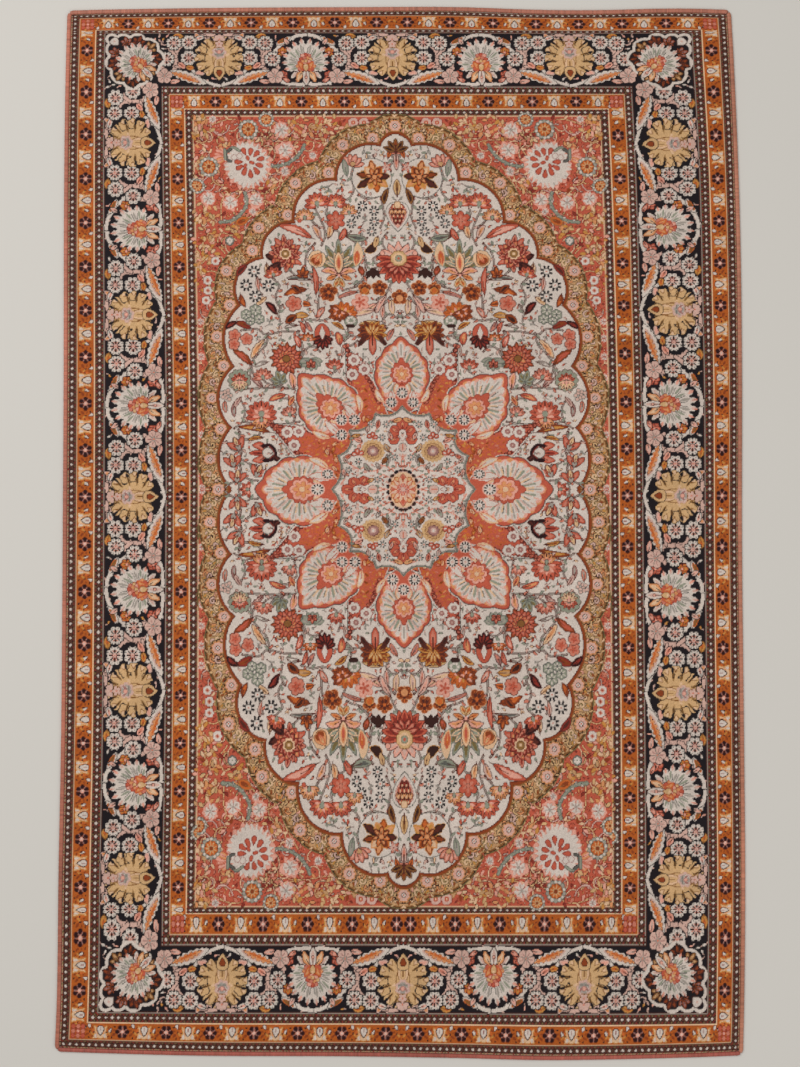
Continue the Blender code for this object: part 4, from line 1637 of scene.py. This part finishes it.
def mapCorners(piece, name, u, v):
    layer = piece.data.uv_layers.new(name=name)
    layer.data.foreach_set("uv", np.stack([u, v], -1).astype(np.float32).ravel())


# knotted silk pile

pile = {
    "cellKnots": 2,  # each face of the mesh carries this many knots each way
    "panels": 5,
    "rimDrop": 0.0007,  # the pile's edge leans down to the binding
    "nap": 0.00006,  # how unevenly it was shorn, in metres
    "swell": 0.00035,  # how far the laid rug rises and falls
    "swellLevel": 0.4,  # the share of that rise at which the pile is as high as pileTop
    "foldStrips": 3,  # each panel's bake map is laid in this many strips
    "knotBump": 0.35,
    "sheen": 0.14,
}
dyeTable = np.array([linear(hexColour) for hexColour in dyes.values()])


def wholeCartoon():
    # the quarter mirrored both ways; each strip of the rug counts its own rows, so the repeats drift apart
    half = np.concatenate([cartoon[::-1], cartoon])
    whole = np.concatenate([half[:, ::-1], half], 1)
    woven, laid = np.array(weftStations, float).T
    rows = np.arange(len(whole)) - len(whole) / 2 + 0.5
    places = np.interp(rows, woven, laid)
    fieldHalf = int(fieldPlan["corner"])
    middle = whole.shape[1] // 2
    left, right = middle - fieldHalf, middle + fieldHalf
    for name, first, last in (("left", 0, left), ("field", left, right), ("right", right, None)):
        counted, lies = np.array(rowDrift[name], float)[::-1].T
        drifting = np.interp(places, lies, counted, left=np.nan, right=np.nan)
        drifting = np.where(np.isnan(drifting), rows, drifting)
        pick = np.clip(np.floor(drifting + len(whole) / 2).astype(int), 0, len(whole) - 1)
        whole[:, first:last] = whole[pick, first:last]
    return whole


def knottedSilk():
    # reeled silk knotted and shorn to a short dense pile: soft, of low sheen, each knot just to be seen
    material, tree = newMaterial("knotted silk pile")
    dye = node(tree, "Attribute", attribute_name="dye")
    knots = node(tree, "UVMap", uv_map="knots")
    # one number for each knot, so that no two knots of a dye are quite alike
    cell = node(tree, "VectorMath", {"Vector": knots}, operation="FLOOR")
    each = node(tree, "TexWhiteNoise", {"Vector": cell}, noise_dimensions="2D")
    eachShade = node(tree, "MapRange", {"Value": each}, To_Min=0.86, To_Max=1.14)
    # abrash: the dye lots change slowly up the rug, in bands across it
    bands = node(tree, "Mapping", {"Vector": knots}, Scale=(0.0012, 0.018, 1.0))
    lots = node(tree, "TexNoise", {"Vector": bands}, Scale=1.0, Detail=3.0)
    lotShade = node(tree, "MapRange", {"Value": lots}, **noiseSpan, To_Min=0.93, To_Max=1.07)
    # and painted sheen and shade: where the pile lies this way and that, in patches some 30 mm across, its
    # colour is painted lighter or darker as if it caught the light differently
    sheenPatches = node(tree, "TexNoise", {"Vector": knots}, Scale=0.03, Detail=4.0, Roughness=0.6)
    paintedSheenShade = node(tree, "MapRange", {"Value": sheenPatches}, **noiseSpan, To_Min=0.92, To_Max=1.08)
    shade = node(tree, "Math", {0: eachShade, 1: lotShade}, operation="MULTIPLY")
    # the per-knot and dye-lot tones are the silk's own; the patch factor is painted sheen and shade
    shade = node(tree, "Math", {0: shade, 1: paintedSheenShade}, operation="MULTIPLY")
    warmth = node(tree, "HueSaturation", {"Color": dye, "Value": shade})
    # the knots' round heads, in rows 1 mm apart, and the nap on them
    wave = node(tree, "VectorMath", {0: knots}, operation="FRACTION")
    parts = node(tree, "SeparateXYZ", {"Vector": wave})
    heads = []
    for axis in ("X", "Y"):
        lean = node(tree, "Math", {0: parts.outputs[axis]}, operation="SUBTRACT", _1=0.5)
        heads.append(node(tree, "Math", {0: lean, 1: lean}, operation="MULTIPLY"))
    dip = node(tree, "Math", {0: heads[0], 1: heads[1]}, operation="ADD")
    nap = node(tree, "TexNoise", {"Vector": knots}, Scale=1.7, Detail=2.0)
    height = node(tree, "Math", {0: nap, 1: dip}, operation="SUBTRACT")
    bump = node(tree, "Bump", {"Height": height}, Strength=pile["knotBump"], Distance=0.0006)
    shader = node(
        tree, "BsdfPrincipled", {"Base Color": warmth, "Normal": bump}, Roughness=0.62, IOR=1.5,
        Specular_IOR_Level=0.16, Sheen_Weight=pile["sheen"], Sheen_Roughness=0.45, Sheen_Tint=rgba("E8CFC0"),
    )
    node(tree, "OutputMaterial", {"Surface": shader})
    return material


def swellAt(x, y):
    # slow waves: how many to the metre across the rug and up it, and where each starts
    waves = ((2.1, 0.7, 0.0), (-1.3, 3.4, 1.9), (4.2, 2.3, 4.1), (0.6, 6.1, 2.7))
    return sum(np.sin(2 * np.pi * (a * x + b * y) + c) for a, b, c in waves) / len(waves)


def pilePanels():
    knots = wholeCartoon()
    cell, knot = pile["cellKnots"], clothPlan["knot"]
    columns = int((clothPlan["halfWidth"] - pileInset * 1000) * 2 / knot) // cell
    rows = int((clothPlan["halfLength"] - pileInset * 1000) * 2 / knot) // cell
    left, bottom = (knots.shape[1] - columns * cell) // 2, (knots.shape[0] - rows * cell) // 2
    knots = knots[bottom : bottom + rows * cell, left : left + columns * cell]
    u = (np.arange(columns + 1) - columns / 2) * cell * knot
    v = (np.arange(rows + 1) - rows / 2) * cell * knot
    # the outermost ring of points doubles the edge, lower down
    u, v = np.pad(u, 1, mode="edge"), np.pad(v, 1, mode="edge")
    acrossRug, upRug = np.meshgrid(u, v)
    x, y = lay(acrossRug, upRug)
    chance = np.random.default_rng(11)
    z = rug["pileTop"] + pile["nap"] * chance.standard_normal(x.shape)
    z = z + pile["swell"] * (swellAt(x, y) - pile["swellLevel"])
    for rim in (z[1], z[-2], z[:, 1], z[:, -2]):
        rim -= pile["rimDrop"]
    for foot in (z[0], z[-1], z[:, 0], z[:, -1]):
        foot[:] = rug["backTop"]
    places = np.stack([x, y, z], -1)
    silk = knottedSilk()
    made = []
    cuts = np.linspace(0, columns + 2, pile["panels"] + 1).astype(int)
    for number, (first, last) in enumerate(zip(cuts, cuts[1:]), 1):
        part = places[:, first : last + 1]
        height, width = part.shape[:2]
        index = np.arange(height * width).reshape(height, width)
        quads = np.stack([index[:-1, :-1], index[:-1, 1:], index[1:, 1:], index[1:, :-1]], -1).reshape(-1, 4)
        piece = meshPiece(f"pile_panel_{number}", part.reshape(-1, 3), quads, silk)
        # each corner of a face has its own knot
        column = np.clip(np.arange(first, last) - 1, 0, columns - 1) * cell
        row = np.clip(np.arange(height - 1) - 1, 0, rows - 1) * cell
        right, up = np.meshgrid(column, row)
        farRight, farUp = right + cell - 1, up + cell - 1
        corners = [knots[up, right], knots[up, farRight], knots[farUp, farRight], knots[farUp, right]]
        dyeCorners(piece, dyeTable[np.stack(corners, -1).ravel()])
        # knots counted from the rug's near left corner
        stepU = np.stack([right, right + cell, right + cell, right], -1)
        stepV = np.stack([up, up, up + cell, up + cell], -1)
        mapCorners(piece, "knots", stepU.ravel(), stepV.ravel())
        # the bake map: the panel cut across into strips laid side by side
        strips = pile["foldStrips"]
        perStrip = int(np.ceil((height - 1) / strips))
        faceColumn, faceRow = np.meshgrid(np.arange(last - first), np.arange(height - 1))
        strip = faceRow // perStrip
        acrossStrip = faceColumn[..., None] + np.array([0, 1, 1, 0])
        upStrip = (faceRow % perStrip)[..., None] + np.array([0, 0, 1, 1])
        bakeU = (strip[..., None] + 0.01 + 0.98 * acrossStrip / (last - first)) / strips
        bakeV = 0.004 + 0.992 * upStrip / perStrip
        mapCorners(piece, "OFBake", bakeU.ravel(), bakeV.ravel())
        made.append(piece)
    print(f"pile: {columns} by {rows} cells of {cell * cell} knots, in {len(made)} panels")
    return made


# overcast binding

binding = {
    "wrapPitch": 0.0016,  # metres from one turn of the silk to the next
    "ridge": 0.10,  # how far each turn stands out, in shares of the binding's own radius
    "slant": 0.35,  # turns lean by this share of a pitch
    "around": 10,  # points round its section
    "flatBelow": 0.86,  # its underside is cut flat at this share of its half height
    "uneven": 0.03,  # how much each half turn's girth differs
    "endGirth": 0.55,  # it is drawn in to this share at its ends
    "turnTone": 0.10,  # how much the dye differs from turn to turn
    "lotTone": 0.10,  # and from one lot of turns to the next
    "lotTurns": 50,
    # painted shade: the grooves between turns, every other half turn, are made this much darker
    "paintedGrooveShade": 0.9,
    "foldStrips": 8,
    "sides": {"left": "B9705A", "far": "B8745F", "right": "BC7A60", "near": "A8584A"},
}


def boundSilk():
    # two-ply silk wrapped tight over the edge: smoother and glossier than the pile, ridged turn by turn
    material, tree = newMaterial("overcast silk binding")
    dye = node(tree, "Attribute", attribute_name="dye")
    turnsMap = node(tree, "UVMap", uv_map="turns")
    plies = node(tree, "Mapping", {"Vector": turnsMap}, Scale=(3.0, 9.0, 1.0))
    ply = node(tree, "TexNoise", {"Vector": plies}, Scale=1.0, Detail=3.0)
    shade = node(tree, "MapRange", {"Value": ply}, **noiseSpan, To_Min=0.86, To_Max=1.12)
    colour = node(tree, "HueSaturation", {"Color": dye, "Value": shade})
    bump = node(tree, "Bump", {"Height": ply}, Strength=0.4, Distance=0.0003)
    shader = node(
        tree, "BsdfPrincipled", {"Base Color": colour, "Normal": bump}, Roughness=0.48, IOR=1.5,
        Specular_IOR_Level=0.3, Sheen_Weight=0.15, Sheen_Roughness=0.4,
    )
    node(tree, "OutputMaterial", {"Surface": shader})
    return material


inwards = {"left": 1, "right": -1, "far": -1j, "near": 1j}
neighbours = {
    "left": ("far", "near"),
    "right": ("near", "far"),
    "far": ("right", "left"),
    "near": ("left", "right"),
}


def bindingPath(sideName):
    # the middle of one binding, from halfway round one corner to halfway round the next, as complex numbers
    inset = rug["bindingWidth"] / 2
    radius = rug["cornerRadius"]
    inward = inwards[sideName]
    runsUp = sideName in ("left", "right")
    ends = []
    for other in neighbours[sideName]:
        sideward = inwards[other]
        corner = cornerOf(sideName, other) if runsUp else cornerOf(other, sideName)
        centre = corner + radius * (inward + sideward)
        clear = rug["gap"] / 2 / (radius - inset)
        # nine points from the joint at the corner to the straight
        turn = np.linspace(np.pi / 4 - clear, 0, 9)
        ends.append(centre - (radius - inset) * (inward * np.cos(turn) + sideward * np.sin(turn)))
    start, stop = ends[0], ends[1][::-1]
    t = np.linspace(0, 1, 90)[1:-1]
    if runsUp:
        y = start[-1].imag + t * (stop[0].imag - start[-1].imag)
        middle = edgeAt(sideName, y) + inward * inset + 1j * y
    else:
        x = start[-1].real + t * (stop[0].real - start[-1].real)
        middle = x + 1j * edgeAt(sideName, x) + inward * inset
    return np.concatenate([start, middle, stop])


def bindingPiece(sideName, nodeName, silk):
    path = bindingPath(sideName)
    run = np.concatenate([[0], np.cumsum(np.abs(np.diff(path)))])
    count = int(run[-1] / binding["wrapPitch"]) * 2
    at = np.linspace(0, run[-1], count + 1)
    path = np.interp(at, run, path.real) + 1j * np.interp(at, run, path.imag)
    way = np.gradient(path)
    way /= np.abs(way)
    around = binding["around"]
    angle = 2 * np.pi * (np.arange(around) + 0.5) / around
    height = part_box(nodeName)[1].z
    phase = np.arange(count + 1)[:, None] * np.pi + binding["slant"] * 2 * np.pi * np.cos(angle)
    chance = np.random.default_rng(len(sideName) * 7 + len(nodeName))
    uneven = 1 + binding["uneven"] * chance.standard_normal(count + 1)[:, None]
    swell = uneven * (1 - binding["ridge"] / 2 * (1 - np.cos(phase)))
    swell[[0, -1]] *= binding["endGirth"]
    # nearly flat below, where it lies on the floor
    sideways = rug["bindingWidth"] / 2 * np.cos(angle) * swell
    flat = binding["flatBelow"]
    rise = np.where(np.sin(angle) > 0, np.sin(angle), np.maximum(np.sin(angle), -flat) / flat)
    upwards = np.maximum(height / 2 * (1 + rise * swell), 0.0001)
    across = path[:, None] + 1j * way[:, None] * sideways
    vertices = np.stack([across.real, across.imag, upwards], -1).reshape(-1, 3)
    index = np.arange((count + 1) * around).reshape(count + 1, around)
    following = np.roll(index, -1, axis=1)
    quads = np.stack([index[:-1], following[:-1], following[1:], index[1:]], -1).reshape(-1, 4)
    # the ends are closed by quads across the section
    for ring, flip in ((index[0], True), (index[-1], False)):
        here, there = ring[: around // 2], ring[: around // 2 - 1 : -1]
        caps = np.stack([here[:-1], here[1:], there[1:], there[:-1]], -1)
        quads = np.concatenate([quads, caps[:, ::-1] if flip else caps])
    piece = meshPiece(nodeName.replace("binding", "overcast"), vertices, quads, silk)
    colour = linear(binding["sides"][sideName])
    wraps = count // 2 + 2
    lots = np.arange(0, wraps + binding["lotTurns"], binding["lotTurns"])
    turnTone = 1 + binding["turnTone"] * chance.standard_normal(wraps)
    lotTone = 1 + binding["lotTone"] * np.interp(np.arange(wraps), lots, chance.standard_normal(len(lots)))
    halfTurn = np.arange(len(quads)) // around
    tone = (turnTone * lotTone)[np.minimum(halfTurn, count - 1) // 2][:, None] * colour
    # painted shade: every other half turn, the groove between two turns, is darkened
    grooveShade = np.where(halfTurn % 2 == 0, 1.0, binding["paintedGrooveShade"])[:, None]
    dyeCorners(piece, np.repeat(tone * grooveShade, 4, axis=0))
    corner = quads.ravel()
    mapCorners(piece, "turns", corner // around / 2, corner % around / around)
    # the bake map: the binding's skin cut into strips, one above another
    strips = binding["foldStrips"]
    step, lap = quads // around, quads % around
    perStrip = int(np.ceil((count + 1) / strips))
    strip = np.minimum(step.min(1) // perStrip, strips - 1)[:, None]
    seam = lap.max(1, keepdims=True) == around - 1
    lap = np.where(seam & (lap == 0), around, lap)
    bakeU = (step - strip * perStrip) / perStrip * 0.99 + 0.003
    bakeV = (strip + 0.04 + 0.92 * lap / around) / strips
    mapCorners(piece, "OFBake", bakeU.ravel(), bakeV.ravel())
    return piece


# the woven back

backing = {
    "cell": 8.0,  # mm
    "height": 0.0002,  # metres above the floor
    "clearance": 0.0002,  # its upper side lies this much below the pile's foot
    "darken": 0.72,  # knots look flatter and duller from behind
}


def wovenBack():
    # silk weft packed between the knots' backs: flat, dull and ribbed across
    material, tree = newMaterial("woven silk back")
    dye = node(tree, "Attribute", attribute_name="dye")
    place = node(tree, "UVMap", uv_map="knots")
    cell = node(tree, "VectorMath", {"Vector": place}, operation="FLOOR")
    each = node(tree, "TexWhiteNoise", {"Vector": cell}, noise_dimensions="2D")
    shade = node(tree, "MapRange", {"Value": each}, To_Min=0.8, To_Max=1.15)
    colour = node(tree, "HueSaturation", {"Color": dye, "Value": shade})
    ribs = node(tree, "TexWave", {"Vector": place}, bands_direction="Y", Scale=0.314, Distortion=0.6)
    bump = node(tree, "Bump", {"Height": ribs.outputs["Fac"]}, Strength=0.5, Distance=0.0003)
    shader = node(
        tree, "BsdfPrincipled", {"Base Color": colour, "Normal": bump}, Roughness=0.75, IOR=1.5,
        Specular_IOR_Level=0.2,
    )
    node(tree, "OutputMaterial", {"Surface": shader})
    return material


def backPiece():
    knots = wholeCartoon()
    halves = (clothPlan["halfWidth"], clothPlan["halfLength"])
    reaches = [half - pileInset * 1000 for half in halves]
    columns, rows = (int(reach * 2 / backing["cell"]) for reach in reaches)
    u, v = (np.linspace(-reach, reach, count + 1) for reach, count in zip(reaches, (columns, rows)))
    acrossRug, upRug = np.meshgrid(u, v)
    x, y = lay(acrossRug, upRug)
    under = np.stack([x, y, np.full(x.shape, backing["height"])], -1).reshape(-1, 3)
    index = np.arange(len(under)).reshape(rows + 1, columns + 1)
    down = np.stack([index[:-1, :-1], index[1:, :-1], index[1:, 1:], index[:-1, 1:]], -1).reshape(-1, 4)
    rim = np.concatenate([index[0, :-1], index[:-1, -1], index[-1, :0:-1], index[:0:-1, 0]])
    # the same sheet again as its upper side, under the pile
    top = under + (0, 0, rug["backTop"] - backing["clearance"] - backing["height"])
    upper = down[:, ::-1] + len(under)
    nextRim = np.roll(rim, -1)
    wall = np.stack([rim, nextRim, nextRim + len(under), rim + len(under)], -1)
    quads = np.concatenate([down, wall, upper])
    piece = meshPiece("woven_back", np.concatenate([under, top]), quads, wovenBack())
    # each corner takes the dye of a knot a quarter of a cell in from it
    picks = []
    cornersAt = [across.ravel()[quads % len(under)] for across in (acrossRug, upRug)]
    for at, half, count in zip(cornersAt, halves, knots.shape[::-1]):
        middle = at.mean(1, keepdims=True)
        pick = middle + np.sign(at - middle) * backing["cell"] / 4 + half
        picks.append(np.clip(pick, 0, count - 1).astype(int).ravel())
    dyeCorners(piece, dyeTable[knots[picks[1], picks[0]]] * backing["darken"])
    mapCorners(piece, "knots", cornersAt[0].ravel(), cornersAt[1].ravel())
    return piece


# the floor, the light and the camera

studio = {
    "floor": "D9D5CE",
    "floorReach": 30.0,  # metres
    "keyWatts": 55.0,
    "keySize": 2.6,
    "keyPlace": (-1.5, 1.1, 2.9),
    "fillWatts": 22.0,
    "fillPlace": (1.9, -1.4, 2.4),
    "sky": "F3F1EE",
    "skyStrength": 0.45,
    "lens": 85.0,  # mm
    "viewWidth": 1.1745,  # metres of floor across the frame
}


def paintedFloor():
    # matt floor paint, rolled: no gloss and a faint orange-peel
    material, tree = newMaterial("matt floor paint")
    roll = node(tree, "TexNoise", Scale=420.0, Detail=2.0)
    bump = node(tree, "Bump", {"Height": roll}, Strength=0.05, Distance=0.001)
    colour = rgba(studio["floor"])
    shader = node(
        tree, "BsdfPrincipled", {"Normal": bump}, Base_Color=colour, Roughness=0.85, Specular_IOR_Level=0.2,
    )
    node(tree, "OutputMaterial", {"Surface": shader})
    return material


def layFloor():
    reach = studio["floorReach"]
    corners = np.array([(-reach, -reach, 0), (reach, -reach, 0), (reach, reach, 0), (-reach, reach, 0)])
    floor = meshPiece("floor", corners, np.array([[0, 1, 2, 3]]), paintedFloor(), smooth=False)


def areaLight(name, place, watts, size):
    light = bpy.data.lights.new(name, "AREA")
    light.energy = watts
    light.shape = "DISK"
    light.size = size
    lamp = bpy.data.objects.new(name, light)
    lamp.location = place
    lamp.rotation_mode = "QUATERNION"
    lamp.rotation_quaternion = (-lamp.location).to_track_quat("-Z", "Y")
    scene.collection.objects.link(lamp)


def lightAndCamera():
    areaLight("key light", studio["keyPlace"], studio["keyWatts"], studio["keySize"])
    areaLight("fill light", studio["fillPlace"], studio["fillWatts"], studio["keySize"])
    world = bpy.data.worlds.new("studio")
    world.use_nodes = True
    background = world.node_tree.nodes["Background"]
    background.inputs["Color"].default_value = rgba(studio["sky"])
    background.inputs["Strength"].default_value = studio["skyStrength"]
    scene.world = world
    lens = bpy.data.cameras.new("straight above")
    lens.lens = studio["lens"]
    lens.sensor_fit = "HORIZONTAL"
    lens.sensor_width = 36.0
    camera = bpy.data.objects.new("straight above", lens)
    distance = studio["viewWidth"] * studio["lens"] / lens.sensor_width
    camera.location = (0.0, 0.0, distance + rug["pileTop"])
    scene.collection.objects.link(camera)
    scene.camera = camera


panels = pilePanels()
back = backPiece()
silkBinding = boundSilk()
bindings = [
    bindingPiece("left", "side_binding_left", silkBinding),
    bindingPiece("right", "side_binding_right", silkBinding),
    bindingPiece("far", "end_binding_far", silkBinding),
    bindingPiece("near", "end_binding_near", silkBinding),
]
print(f"bindings: {[piece.name for piece in bindings]}")
for piece in (back, *panels):
    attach(piece, "root")
    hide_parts("knotted_cloth")
for piece in bindings:
    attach(piece, "root")
    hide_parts(piece.name.replace("overcast", "binding"))
layFloor()
lightAndCamera()
print("floor, lights and camera placed")
